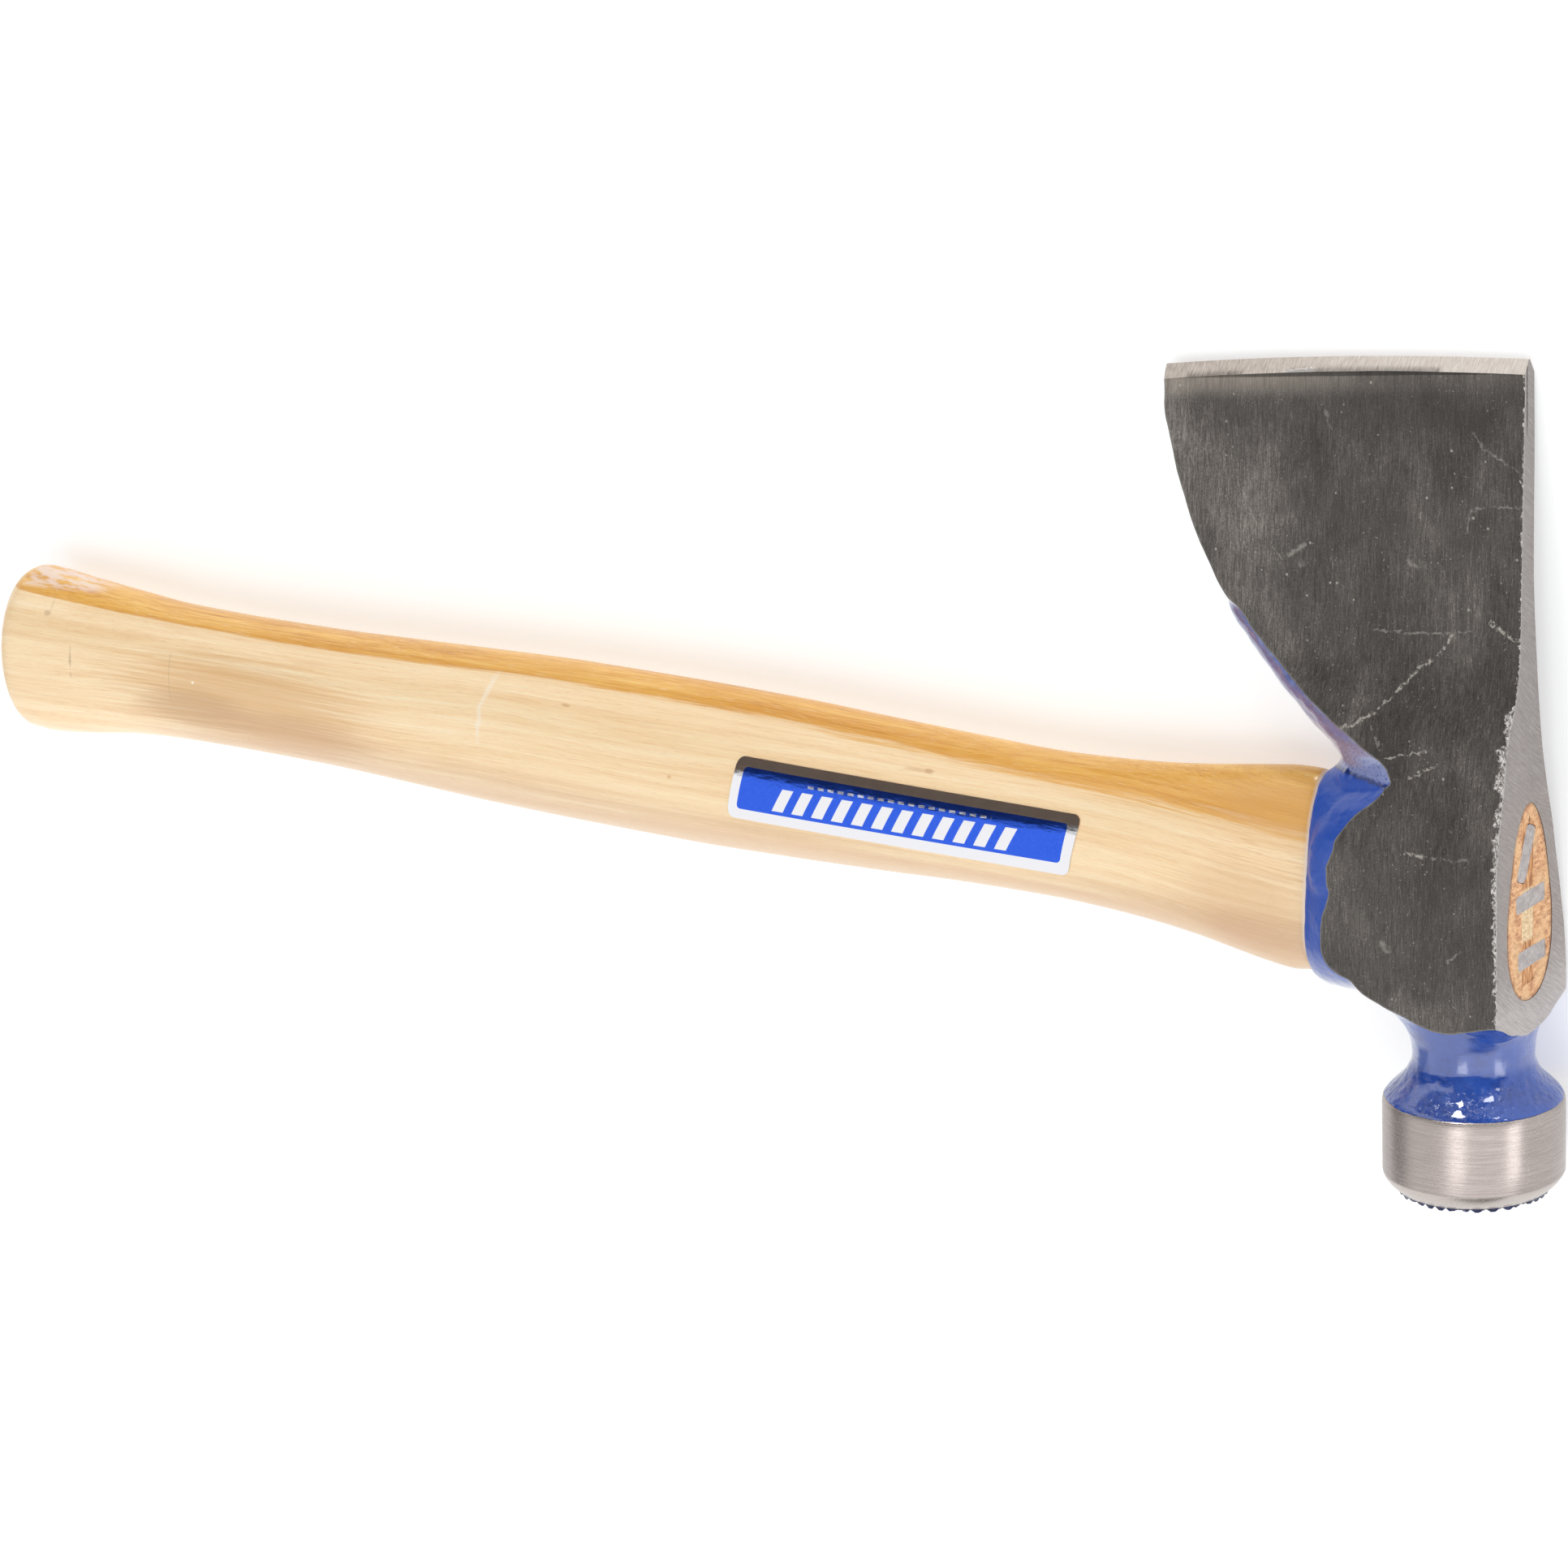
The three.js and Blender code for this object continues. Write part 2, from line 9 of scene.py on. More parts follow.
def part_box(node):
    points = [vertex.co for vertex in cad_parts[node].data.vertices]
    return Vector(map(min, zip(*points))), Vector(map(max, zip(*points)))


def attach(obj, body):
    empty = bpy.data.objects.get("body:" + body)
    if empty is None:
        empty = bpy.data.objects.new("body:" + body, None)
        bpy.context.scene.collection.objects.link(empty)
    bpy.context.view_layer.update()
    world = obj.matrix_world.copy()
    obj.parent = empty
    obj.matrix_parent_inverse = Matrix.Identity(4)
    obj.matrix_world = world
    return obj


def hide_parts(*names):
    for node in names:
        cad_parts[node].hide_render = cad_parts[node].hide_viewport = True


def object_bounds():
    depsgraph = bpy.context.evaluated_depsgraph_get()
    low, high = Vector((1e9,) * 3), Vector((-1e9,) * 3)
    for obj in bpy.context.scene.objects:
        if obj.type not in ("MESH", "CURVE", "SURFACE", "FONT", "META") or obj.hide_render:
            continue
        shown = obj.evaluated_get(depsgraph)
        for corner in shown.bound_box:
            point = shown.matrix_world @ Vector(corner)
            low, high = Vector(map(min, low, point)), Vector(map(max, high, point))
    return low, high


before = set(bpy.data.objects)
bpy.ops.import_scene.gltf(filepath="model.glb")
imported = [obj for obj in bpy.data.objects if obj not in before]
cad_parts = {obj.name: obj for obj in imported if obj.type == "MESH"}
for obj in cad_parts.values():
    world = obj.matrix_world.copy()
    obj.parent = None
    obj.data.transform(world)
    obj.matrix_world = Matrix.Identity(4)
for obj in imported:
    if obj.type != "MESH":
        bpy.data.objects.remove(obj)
CAD_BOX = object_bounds()

# ------------------------------------------------------------------ placement
# Pieces are modelled in the tool's own axes in millimetres: X along the handle with 0 at
# the ground end face, Y from the poll to the cutting edge, Z square to the cheeks. PLACE
# takes them to the row frame, where the tool lies on its side.
TILT_X, TILT_Y = math.radians(-6.2989), math.radians(-0.0944)
ROT = Matrix.Rotation(TILT_X, 4, "X") @ Matrix.Rotation(TILT_Y, 4, "Y")


def anchor():
    """Where the tool's own origin is in the row frame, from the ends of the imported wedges."""
    lo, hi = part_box("steel_wedge_middle")
    wedge = np.array([v.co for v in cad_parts["steel_wedge_middle"].data.vertices], float)
    own = (wedge @ np.array(ROT.to_3x3())) * 1000.0          # still shifted by the origin
    want_lo, want_hi = np.array([-17.0, -0.9542, -6.2959]), np.array([-0.3, 3.7542, 5.4959])
    shift = ((own.min(0) - want_lo) + (own.max(0) - want_hi)) / 2
    return Vector((np.array(ROT.to_3x3()) @ shift) / 1000.0)


PLACE = Matrix.Translation(anchor()) @ ROT
MM = 0.001

# ------------------------------------------------------------------ tables (mm)
HANDLE_LENGTH, EDGE_LENGTH, EDGE_TILT, EDGE_BULGE, EDGE_THICK = 431.0, 88.9, 6.32, 1.1, 0.4
BEVEL, TOE_Y, POLL_X, POLL_R, NECK_R, COLLAR_X = 2.9, 116.45, -13.6, 19.42, 13.0, -49.0
FACE_TILT = math.tan(math.radians(0.9))

CHEEK_UPPER = [[-33, 13.9], [8, 13.9], [16.4, 12.9], [21.8, 11.9], [28.2, 10.6], [34, 9.6],
               [38, 8.6], [41, 7.4], [45, 5.7], [50, 4.5], [56.6, 3.8], [73.4, 3.2], [86, 2.75],
               [100.4, 2.2], [112, 1.75], [126, 1.6]]
CHEEK_LOWER = [[-33, 15.4], [-18, 15.3], [-8, 14.4], [-3.2, 13.5], [3, 12.3], [10.2, 10.7],
               [16.2, 9.5], [23.6, 7.5], [34.6, 5.1], [42.6, 4.0], [55, 2.8], [64, 2.1], [72, 1.8],
               [85, 1.9], [100, 2.1], [112, 2.0], [126, 1.9]]
BEARD_OUTER = [[20, -48], [22.9, -48], [24, -46.8], [25, -45.9], [26.3, -45.2], [27.6, -46.1],
               [29.2, -47.6], [30.7, -49.5], [33.8, -53.3], [37, -56.4], [40.1, -59.9], [43.3, -63],
               [46.5, -66.1], [49.8, -69], [53, -71.7], [56.4, -73.2], [58, -73.4], [60.9, -74.4],
               [64.2, -76.2], [70.8, -79.9], [77.5, -82.5], [84.3, -84.9], [91.2, -86.5], [98, -87.8],
               [104.3, -88.1], [126, -88.6]]
BEARD_INNER = [[18, -27], [23, -26], [25.9, -27.2], [27.3, -28.1], [28.6, -28.9], [29.7, -30.2],
               [31.5, -34], [33.8, -37.9], [36.1, -42.4], [39, -47.2], [43.3, -53.9], [47.8, -59.7],
               [52.6, -65.1], [56.7, -69.0], [58, -71.2], [60.9, -73.5], [64.2, -75.4], [70.8, -79.1],
               [77.5, -81.8], [84.3, -84.3], [91.2, -86], [98, -87.5], [104.3, -87.7], [126, -88.4]]
COLLAR_RIM = [[-24.3, 0], [-23.9, 2.6], [-23, 4.7], [-21.6, 6.8], [-19.8, 8.6], [-16.3, 10.4],
              [-12.2, 11.1], [-6.7, 11.0], [-2.5, 10.6], [3.8, 9.9], [9.5, 9.0], [13.9, 8.0],
              [17.7, 6.4], [20.8, 4.2], [22.4, 2.0], [22.9, 0]]
TENON_FOOT = [[-22.4, 0], [-22.0, 2.4], [-21.2, 4.2], [-19.8, 5.9], [-17.8, 7.6], [-14.8, 9.1],
              [-11.2, 9.7], [-6.2, 9.6], [-2.2, 9.3], [3.6, 8.6], [9.0, 7.7], [13.2, 6.7], [16.8, 5.2],
              [19.8, 3.4], [21.4, 1.7], [21.9, 0]]
EYE_MOUTH = [[-20.7, 0], [-20.4, 2.0], [-19.8, 3.6], [-18.6, 5.2], [-16.9, 6.6], [-14, 8.0],
             [-10.4, 9.0], [-5.4, 9.3], [-0.8, 9.1], [4.6, 8.2], [9.3, 7.3], [13.4, 6.3], [17, 5.0],
             [20, 3.3], [21.8, 1.6], [22.3, 0]]
HANDLE = [[-432, 21.07, -20.72, 13.6], [-424, 21.27, -21.11, 13.5], [-412, 20.06, -20.07, 13.2],
          [-395, 18.39, -17.93, 12.7], [-378, 17.09, -16.99, 12.3], [-355, 16.74, -16.72, 12],
          [-330, 16.94, -16.9, 11.9], [-305, 17.67, -17.72, 12.1], [-280, 18.49, -18.64, 12.4],
          [-250, 19.24, -19.12, 12.8], [-220, 19.27, -19.27, 13], [-190, 18.85, -18.66, 13],
          [-165, 17.92, -17.85, 12.7], [-140, 17.11, -16.88, 12.2], [-120, 16.61, -16.65, 11.6],
          [-105, 17.1, -17.11, 11.1], [-92, 17.92, -18.02, 10.6], [-80, 19.22, -19.42, 10.2],
          [-70, 20.62, -21.11, 9.95], [-62, 21.72, -22.37, 9.85], [-56, 22.42, -22.97, 9.85],
          [-52.5, 22.51, -22.5, 9.8], [-50, 22.41, -22.4, 9.7]]
GRIP_EGG = [[0, 0], [0.012, 0.22], [0.05, 0.44], [0.11, 0.655], [0.19, 0.835], [0.28, 0.95],
            [0.38, 1], [0.48, 0.985], [0.58, 0.935], [0.67, 0.86], [0.76, 0.755], [0.84, 0.635],
            [0.91, 0.49], [0.96, 0.335], [0.99, 0.165], [1, 0]]
BUTT_OVAL = [[(1 - math.cos(math.pi * i / 15)) / 2, math.sin(math.pi * i / 15)] for i in range(16)]
WEDGES = {  # width, thickness, y, z, turn in degrees
    "wedge_upper": (12.4, 3.9, 11.6, 1.3, 68.0, "steel_wedge_upper"),
    "wedge_middle": (11.6, 4.1, 1.4, -0.4, 3.0, "steel_wedge_middle"),
    "wedge_lower": (11.2, 4.1, -11.2, -1.0, 3.0, "steel_wedge_lower"),
}
WOOD_WEDGE = (35.0, 5.2, 0.6, 0.8, 90.0)


# ------------------------------------------------------------------ helpers
def curve(table, col=1):
    """Smooth monotone curve through a table, as a function of its first column."""
    x = np.array([r[0] for r in table], float)
    y = np.array([r[col] for r in table], float)
    h, d = np.diff(x), np.diff(y) / np.diff(x)
    m = np.zeros(len(x))
    for i in range(1, len(x) - 1):
        if d[i - 1] * d[i] > 0:
            w1, w2 = 2 * h[i] + h[i - 1], h[i] + 2 * h[i - 1]
            m[i] = (w1 + w2) / (w1 / d[i - 1] + w2 / d[i])
    m[0], m[-1] = d[0], d[-1]

    def f(q):
        q = np.clip(np.asarray(q, float), x[0], x[-1])
        i = np.clip(np.searchsorted(x, q) - 1, 0, len(x) - 2)
        t = (q - x[i]) / h[i]
        return ((2 * t**3 - 3 * t**2 + 1) * y[i] + (t**3 - 2 * t**2 + t) * h[i] * m[i]
                + (-2 * t**3 + 3 * t**2) * y[i + 1] + (t**3 - t**2) * h[i] * m[i + 1])
    return f


def smoothstep(x, a, b):
    t = np.clip((x - a) / (b - a), 0, 1)
    return t * t * (3 - 2 * t)


def ring2d(table, zs=1.0, y0=None, y1=None, inset=0.0, per=3):
    """Closed outline in (Y, Z) from a table of half thickness by Y, rounded by a periodic spline."""
    t = np.array(table, float)
    a, b = t[0, 0], t[-1, 0]
    y = t[:, 0] if y0 is None else y0 + (y1 - y0) * (t[:, 0] - a) / (b - a)
    up = np.c_[y, t[:, 1] * zs]
    p = np.vstack([up, np.c_[up[1:-1][::-1, 0], -up[1:-1][::-1, 1]]])
    p = rounded(p, per)
    if inset:
        q = np.roll(p, -1, 0) - np.roll(p, 1, 0)
        nrm = np.c_[q[:, 1], -q[:, 0]]
        nrm /= np.maximum(np.linalg.norm(nrm, axis=1, keepdims=True), 1e-9)
        if (nrm * (p - p.mean(0))).sum() < 0:
            nrm = -nrm
        p = p - nrm * inset
    return p


def rounded(p, per):
    n = len(p)
    a, b, c, d = np.roll(p, 1, 0), p, np.roll(p, -1, 0), np.roll(p, -2, 0)
    out = []
    for k in range(per):
        t = k / per
        out.append(0.5 * (2 * b + (c - a) * t + (2 * a - 5 * b + 4 * c - d) * t**2
                          + (3 * b - a - 3 * c + d) * t**3))
    return np.stack(out, 1).reshape(n * per, -1)


def loft_arrays(rings):
    """Vertices and faces of a closed body through rings of equally many points."""
    k, n = len(rings), len(rings[0])
    v = np.vstack([np.asarray(r, float) for r in rings])
    f = []
    for r in range(k - 1):
        o = r * n
        for i in range(n):
            j = (i + 1) % n
            f.append((o + i, o + j, o + n + j, o + n + i))
    f.append(tuple(range(n))[::-1])
    f.append(tuple(range((k - 1) * n, k * n)))
    return v, f


def volume(v, f):
    """Six times the signed volume of a closed set of faces."""
    v, total, sizes = np.asarray(v, float), 0.0, {}
    for q in f:
        sizes.setdefault(len(q), []).append(q)
    for n, qs in sizes.items():
        q = np.array(qs)
        for i in range(1, n - 1):
            total += float((v[q[:, 0]] * np.cross(v[q[:, i]], v[q[:, i + 1]])).sum())
    return total


def mesh_object(name, v, f, materials=(), index=None, fix=True):
    if fix and volume(v, f) < 0:
        f = [tuple(q)[::-1] for q in f]
    me = bpy.data.meshes.new(name)
    me.from_pydata((np.asarray(v, float) * MM).tolist(), [], f)
    me.update()
    o = bpy.data.objects.new(name, me)
    bpy.context.scene.collection.objects.link(o)
    for m in materials:
        me.materials.append(m)
    if index is not None:
        me.polygons.foreach_set("material_index", np.asarray(index, np.int32))
    return o


def bake_modifiers(o):
    dg = bpy.context.evaluated_depsgraph_get()
    me = bpy.data.meshes.new_from_object(o.evaluated_get(dg), preserve_all_data_layers=True, depsgraph=dg)
    old = o.data
    o.modifiers.clear()
    o.data = me
    bpy.data.meshes.remove(old)
    return o


def combine(o, other, how):
    """Boolean of o with other, which is then removed. Faces keep their own materials."""
    m = o.modifiers.new("b", "BOOLEAN")
    m.object, m.operation, m.solver, m.material_mode = other, how, "MANIFOLD", "TRANSFER"
    bake_modifiers(o)
    data = other.data
    bpy.data.objects.remove(other)
    bpy.data.meshes.remove(data)
    return o


def sheet_cutter(name, us, vs, surface, back, material):
    """A closed block whose front is surface(u, v) on a grid and whose back is back(u, v)."""
    nu, nv = len(us), len(vs)
    front = np.array([surface(u, v) for u in us for v in vs], float)
    rear = np.array([back(u, v) for u in us for v in vs], float)
    v = np.vstack([front, rear])
    o = nu * nv
    f = []
    for i in range(nu - 1):
        for j in range(nv - 1):
            a = i * nv + j
            f.append((a, a + 1, a + nv + 1, a + nv))
            f.append((o + a, o + a + nv, o + a + nv + 1, o + a + 1))
    edge = [(i * nv) for i in range(nu)]
    for i in range(nu - 1):
        a, b = i * nv, (i + 1) * nv
        f.append((a, b, o + b, o + a))
        a, b = i * nv + nv - 1, (i + 1) * nv + nv - 1
        f.append((b, a, o + a, o + b))
    for j in range(nv - 1):
        a, b = j, j + 1
        f.append((b, a, o + a, o + b))
        a, b = (nu - 1) * nv + j, (nu - 1) * nv + j + 1
        f.append((a, b, o + b, o + a))
    return mesh_object(name, v, f, [material])


def finish_mesh(o, angle=32.0):
    me = o.data
    me.shade_smooth()
    me.set_sharp_from_angle(angle=math.radians(angle))
    me.update()
    return o


def tidy(me):
    """Drops slivers and the odd speck that the booleans leave."""
    bm = bmesh.new()
    bm.from_mesh(me)
    bmesh.ops.dissolve_degenerate(bm, dist=2e-6, edges=bm.edges)
    bm.verts.ensure_lookup_table()
    bm.verts.index_update()
    seen, specks = set(), []
    for v in bm.verts:
        if v.index in seen:
            continue
        seen.add(v.index)
        island, todo = [v], [v]
        while todo:
            a = todo.pop()
            for e in a.link_edges:
                b = e.other_vert(a)
                if b.index not in seen:
                    seen.add(b.index)
                    island.append(b)
                    todo.append(b)
        if len(island) < 12:
            specks += island
    bmesh.ops.delete(bm, geom=specks, context="VERTS")
    bm.to_mesh(me)
    bm.free()
    me.update()


def add_piece(o, slot, *nodes):
    o.data.transform(PLACE)
    co = np.empty(len(o.data.vertices) * 3)
    o.data.vertices.foreach_get("co", co)
    co = np.clip(co.reshape(-1, 3), CAD_BOX[0], CAD_BOX[1])           # the visual stays inside the CAD's box
    o.data.vertices.foreach_set("co", co.ravel())
    tidy(o.data)
    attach(o, "root")
    if nodes:
        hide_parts(*nodes)
    return o


# ------------------------------------------------------------------ node helper
class Nodes:
    """Short way to build a material's node tree."""

    def __init__(self, name, **sockets):
        self.mat = bpy.data.materials.new(name)
        self.mat.use_nodes = True
        self.t = self.mat.node_tree
        self.shader = self.t.nodes["Principled BSDF"]
        self.out = self.t.nodes["Material Output"]
        for k, v in sockets.items():
            self.shader.inputs[k.replace("_", " ")].default_value = v
        self._mm = None

    def put(self, socket, value):
        if isinstance(value, bpy.types.NodeSocket):
            self.t.links.new(value, socket)
        else:
            if hasattr(socket.default_value, "__len__") and not hasattr(value, "__len__"):
                value = (value,) * len(socket.default_value)
            if hasattr(value, "__len__") and len(value) == 3 and len(socket.default_value) == 4:
                value = tuple(value) + (1.0,)
            socket.default_value = value

    def set(self, name, value):
        self.put(self.shader.inputs[name], value)

    def node(self, kind, **props):
        n = self.t.nodes.new(kind)
        for k, v in props.items():
            setattr(n, k, v)
        return n

    def mm(self):
        """The tool's own coordinates in millimetres; the pieces' vertices are in the row frame."""
        if self._mm is None:
            c = self.node("ShaderNodeTexCoord")
            n = self.node("ShaderNodeMapping", vector_type="POINT")
            self.put(n.inputs["Vector"], c.outputs["Object"])
            back = PLACE.inverted()
            n.inputs["Scale"].default_value = (1000.0, 1000.0, 1000.0)
            n.inputs["Rotation"].default_value = back.to_euler("XYZ")
            n.inputs["Location"].default_value = back.translation * 1000.0
            self._mm = n.outputs[0]
        return self._mm

    def xyz(self):
        s = self.node("ShaderNodeSeparateXYZ")
        self.put(s.inputs[0], self.mm())
        return s.outputs

    def vec(self, x, y, z):
        n = self.node("ShaderNodeCombineXYZ")
        for i, v in enumerate((x, y, z)):
            self.put(n.inputs[i], v)
        return n.outputs[0]

    def m(self, op, a, b=0.0, c=0.0, clamp=False):
        n = self.node("ShaderNodeMath", operation=op, use_clamp=clamp)
        for i, v in enumerate((a, b, c)):
            if i < len(n.inputs):
                self.put(n.inputs[i], v)
        return n.outputs[0]

    def scale(self, v, s):
        n = self.node("ShaderNodeVectorMath", operation="MULTIPLY")
        self.put(n.inputs[0], v)
        n.inputs[1].default_value = s
        return n.outputs[0]

    def add(self, v, w):
        n = self.node("ShaderNodeVectorMath", operation="ADD")
        self.put(n.inputs[0], v)
        self.put(n.inputs[1], w)
        return n.outputs[0]

    def noise(self, v, scale=1.0, detail=2.0, rough=0.5, distort=0.0):
        n = self.node("ShaderNodeTexNoise")
        self.put(n.inputs["Vector"], v)
        n.inputs["Scale"].default_value = scale
        n.inputs["Detail"].default_value = detail
        n.inputs["Roughness"].default_value = rough
        n.inputs["Distortion"].default_value = distort
        return n.outputs["Fac"]

    def cells(self, v, scale, feature="F1", out="Distance", rand=1.0):
        n = self.node("ShaderNodeTexVoronoi", feature=feature)
        self.put(n.inputs["Vector"], v)
        n.inputs["Scale"].default_value = scale
        n.inputs["Randomness"].default_value = rand
        return n.outputs[out]

    def step(self, v, lo, hi, a=0.0, b=1.0, smooth=True):
        n = self.node("ShaderNodeMapRange", interpolation_type="SMOOTHSTEP" if smooth else "LINEAR")
        self.put(n.inputs[0], v)
        for i, x in enumerate((lo, hi, a, b)):
            self.put(n.inputs[i + 1], x)
        return n.outputs[0]

    def mix(self, f, a, b, how="MIX"):
        n = self.node("ShaderNodeMix", data_type="RGBA", blend_type=how)
        self.put(n.inputs[0], f)
        self.put(n.inputs[6], a)
        self.put(n.inputs[7], b)
        return n.outputs[2]

    def lerp(self, f, a, b):
        n = self.node("ShaderNodeMix", data_type="FLOAT")
        self.put(n.inputs[0], f)
        self.put(n.inputs[2], a)
        self.put(n.inputs[3], b)
        return n.outputs[0]

    def ramp(self, f, stops):
        n = self.node("ShaderNodeValToRGB")
        self.put(n.inputs[0], f)
        e = n.color_ramp.elements
        while len(e) < len(stops):
            e.new(0.5)
        for i, (p, c) in enumerate(stops):
            e[i].position, e[i].color = p, tuple(c) + (1.0,)
        return n.outputs[0]

    def curve(self, f, points):
        """A number as a piecewise function of another number, by a chain of linear steps."""
        total = points[0][1]
        for (x0, y0), (x1, y1) in zip(points, points[1:]):
            total = self.m("ADD", total, self.step(f, x0, x1, 0.0, y1 - y0, smooth=False))
        return total

    def attr(self, name):
        n = self.node("ShaderNodeAttribute", attribute_name=name)
        return n.outputs["Fac"]

    def bump(self, height, distance, strength=1.0, normal=None):
        """height in millimetres when distance is 1 mm."""
        n = self.node("ShaderNodeBump")
        n.inputs["Strength"].default_value = strength
        n.inputs["Distance"].default_value = distance * MM
        self.put(n.inputs["Height"], height)
        if normal is not None:
            self.put(n.inputs["Normal"], normal)
        return n.outputs["Normal"]

    def line(self, x, y, points, width, wobble=None):
        """Mask of a drawn polyline in the (x, y) plane: 1 on it, 0 away from it."""
        best = None
        for (ax, ay), (bx, by) in zip(points, points[1:]):
            dx, dy = bx - ax, by - ay
            ll = dx * dx + dy * dy
            px, py = self.m("SUBTRACT", x, ax), self.m("SUBTRACT", y, ay)
            t = self.m("MULTIPLY_ADD", px, dx / ll, self.m("MULTIPLY", py, dy / ll), clamp=True)
            ex = self.m("MULTIPLY_ADD", t, -dx, px)
            ey = self.m("MULTIPLY_ADD", t, -dy, py)
            d = self.m("MULTIPLY_ADD", ex, ex, self.m("MULTIPLY", ey, ey))
            best = d if best is None else self.m("MINIMUM", best, d)
        return self.step(self.m("SQRT", best), width * 0.35, width, 1.0, 0.0)


def srgb(r, g, b):
    return tuple(c / 255 / 12.92 if c / 255 <= 0.04045 else ((c / 255 + 0.055) / 1.055) ** 2.4 for c in (r, g, b))


# ------------------------------------------------------------------ materials
def scale_steel():
    """Cheeks: ground, dark oxide, brushed along Y, with fine specks, rubs and scratches."""
    n = Nodes("cheek_dark_steel", Metallic=0.35, Roughness=0.5)
    x, y, z = n.xyz()
    p = n.mm()
    warp = n.noise(n.scale(p, (0.05, 0.05, 0.05)), 1.0, 2.0)
    wob = n.m("MULTIPLY_ADD", warp, 3.0, -1.5)
    xs = n.m("ADD", x, n.m("MULTIPLY", wob, 0.8))
    lines = n.noise(n.vec(n.m("MULTIPLY", xs, 2.4), n.m("MULTIPLY", y, 0.14), z), 1.0, 3.0, 0.65)
    fine = n.noise(n.vec(n.m("MULTIPLY", xs, 6.5), n.m("MULTIPLY", y, 0.45), z), 1.0, 2.0, 0.6)
    grit = n.noise(n.scale(p, (3.2, 2.2, 1.0)), 1.0, 2.0, 0.7)
    cloud = n.noise(n.scale(p, (0.07, 0.045, 0.05)), 1.0, 3.0, 0.55, 0.4)
    tone = n.m("ADD", n.m("MULTIPLY", lines, 0.5), n.m("ADD", n.m("MULTIPLY", fine, 0.5), n.m("MULTIPLY", grit, 0.45)))
    tone = n.m("ADD", tone, n.m("MULTIPLY_ADD", cloud, 0.6, -0.44))
    # paler towards the heel side and low on the eye block
    tone = n.m("ADD", tone, n.step(x, -40.0, -90.0, 0.0, 0.16))
    tone = n.m("ADD", tone, n.step(y, 2.0, -28.0, 0.0, 0.06))
    col = n.ramp(n.step(tone, 0.28, 0.98, 0.0, 1.0, smooth=False),
                 [(0.0, srgb(34, 31, 29)), (0.35, srgb(66, 62, 59)), (0.62, srgb(94, 89, 84)), (1.0, srgb(156, 149, 142))])
    # specks
    dots = n.cells(n.add(p, n.scale(n.vec(warp, warp, warp), (2.0, 2.0, 2.0))), 0.36)
    pick = n.noise(n.scale(p, (0.23, 0.23, 0.23)), 1.0, 1.0)
    size = n.step(pick, 0.47, 0.68, 0.0, 0.11)
    speck = n.step(n.m("SUBTRACT", size, dots), -0.04, 0.03)
    col = n.mix(n.m("MULTIPLY", speck, 0.6), col, srgb(190, 184, 174))
    tiny = n.step(n.noise(n.scale(p, (1.7, 1.5, 1.7)), 1.0, 1.0, 0.5), 0.70, 0.76)
    tiny = n.m("MULTIPLY", tiny, n.step(n.noise(n.scale(p, (0.09, 0.09, 0.09)), 1.0, 2.0), 0.4, 0.65, 0.25, 1.0))
    col = n.mix(n.m("MULTIPLY", tiny, 0.6), col, srgb(176, 170, 160))
    # scratches
    jit = n.noise(n.scale(p, (0.7, 0.7, 0.7)), 1.0, 3.0, 0.6)
    jit2 = n.noise(n.scale(n.add(p, (31.0, 7.0, 3.0)), (0.7, 0.7, 0.7)), 1.0, 3.0, 0.6)
    qx = n.m("ADD", x, n.m("MULTIPLY_ADD", jit, 2.2, -1.1))
    qy = n.m("ADD", y, n.m("MULTIPLY_ADD", jit2, 2.2, -1.1))
    sparse = n.step(n.noise(n.scale(p, (1.1, 1.1, 1.1)), 1.0, 3.0, 0.7), 0.42, 0.60)
    strong = [([(-41.2, 35.2), (-38.1, 35.8), (-33.1, 38.9), (-28.0, 43.9), (-24.3, 48.9), (-18.7, 53.0), (-16.0, 57.6)], 0.55),
              ([(-6.8, 60.9), (-2.6, 58.3), (0.5, 58.1)], 1.0),
              ([(-22.7, 26.9), (-16.3, 30.8)], 0.5), ([(-20.9, 11.6), (-17.9, 11.5)], 0.8),
              ([(-29.0, 30.4), (-19.0, 33.1)], 0.34)]
    faint = [([(-35.2, 56.0), (-25.8, 56.4), (-19.0, 57.1), (-11.8, 58.5)], 0.34),
             ([(-12.9, 79.3), (-12.2, 83.8), (-10.3, 84.7), (0.7, 86.0)], 0.34),
             ([(-17.9, 11.5), (-10.5, 11.5), (-6.0, 12.6)], 0.3), ([(-56.7, 68.7), (-52.1, 72.2)], 0.6),
             ([(-53.3, 67.6), (-51.7, 68.8)], 0.8), ([(-67.9, 82.6), (-64.9, 76.0), (-57.7, 68.1)], 0.26),
             ([(-12.0, 100.0), (-9.0, 96.9), (-0.4, 92.8)], 0.34), ([(-32.7, 36.8), (-30.1, 31.8)], 0.34),
             ([(-26.6, 71.8), (-23.6, 71.0)], 1.4), ([(-47.6, 101.5), (-46.0, 98.0)], 0.5),
             ([(-8.6, -8.0), (-11.5, -10.5)], 0.34), ([(-27.5, -9.0), (-26.2, -10.4)], 1.1)]
    for pts, w in strong:
        s = n.m("MULTIPLY", n.line(qx, qy, pts, w * 0.8), sparse)
        col = n.mix(n.m("MULTIPLY", s, 0.8), col, srgb(188, 182, 172))
    thin = n.step(n.noise(n.scale(p, (0.5, 0.5, 0.5)), 1.0, 4.0, 0.7), 0.4, 0.62)
    for pts, w in faint:
        s = n.m("MULTIPLY", n.line(qx, qy, pts, w), thin)
        col = n.mix(n.m("MULTIPLY", s, 0.5), col, srgb(165, 160, 152))
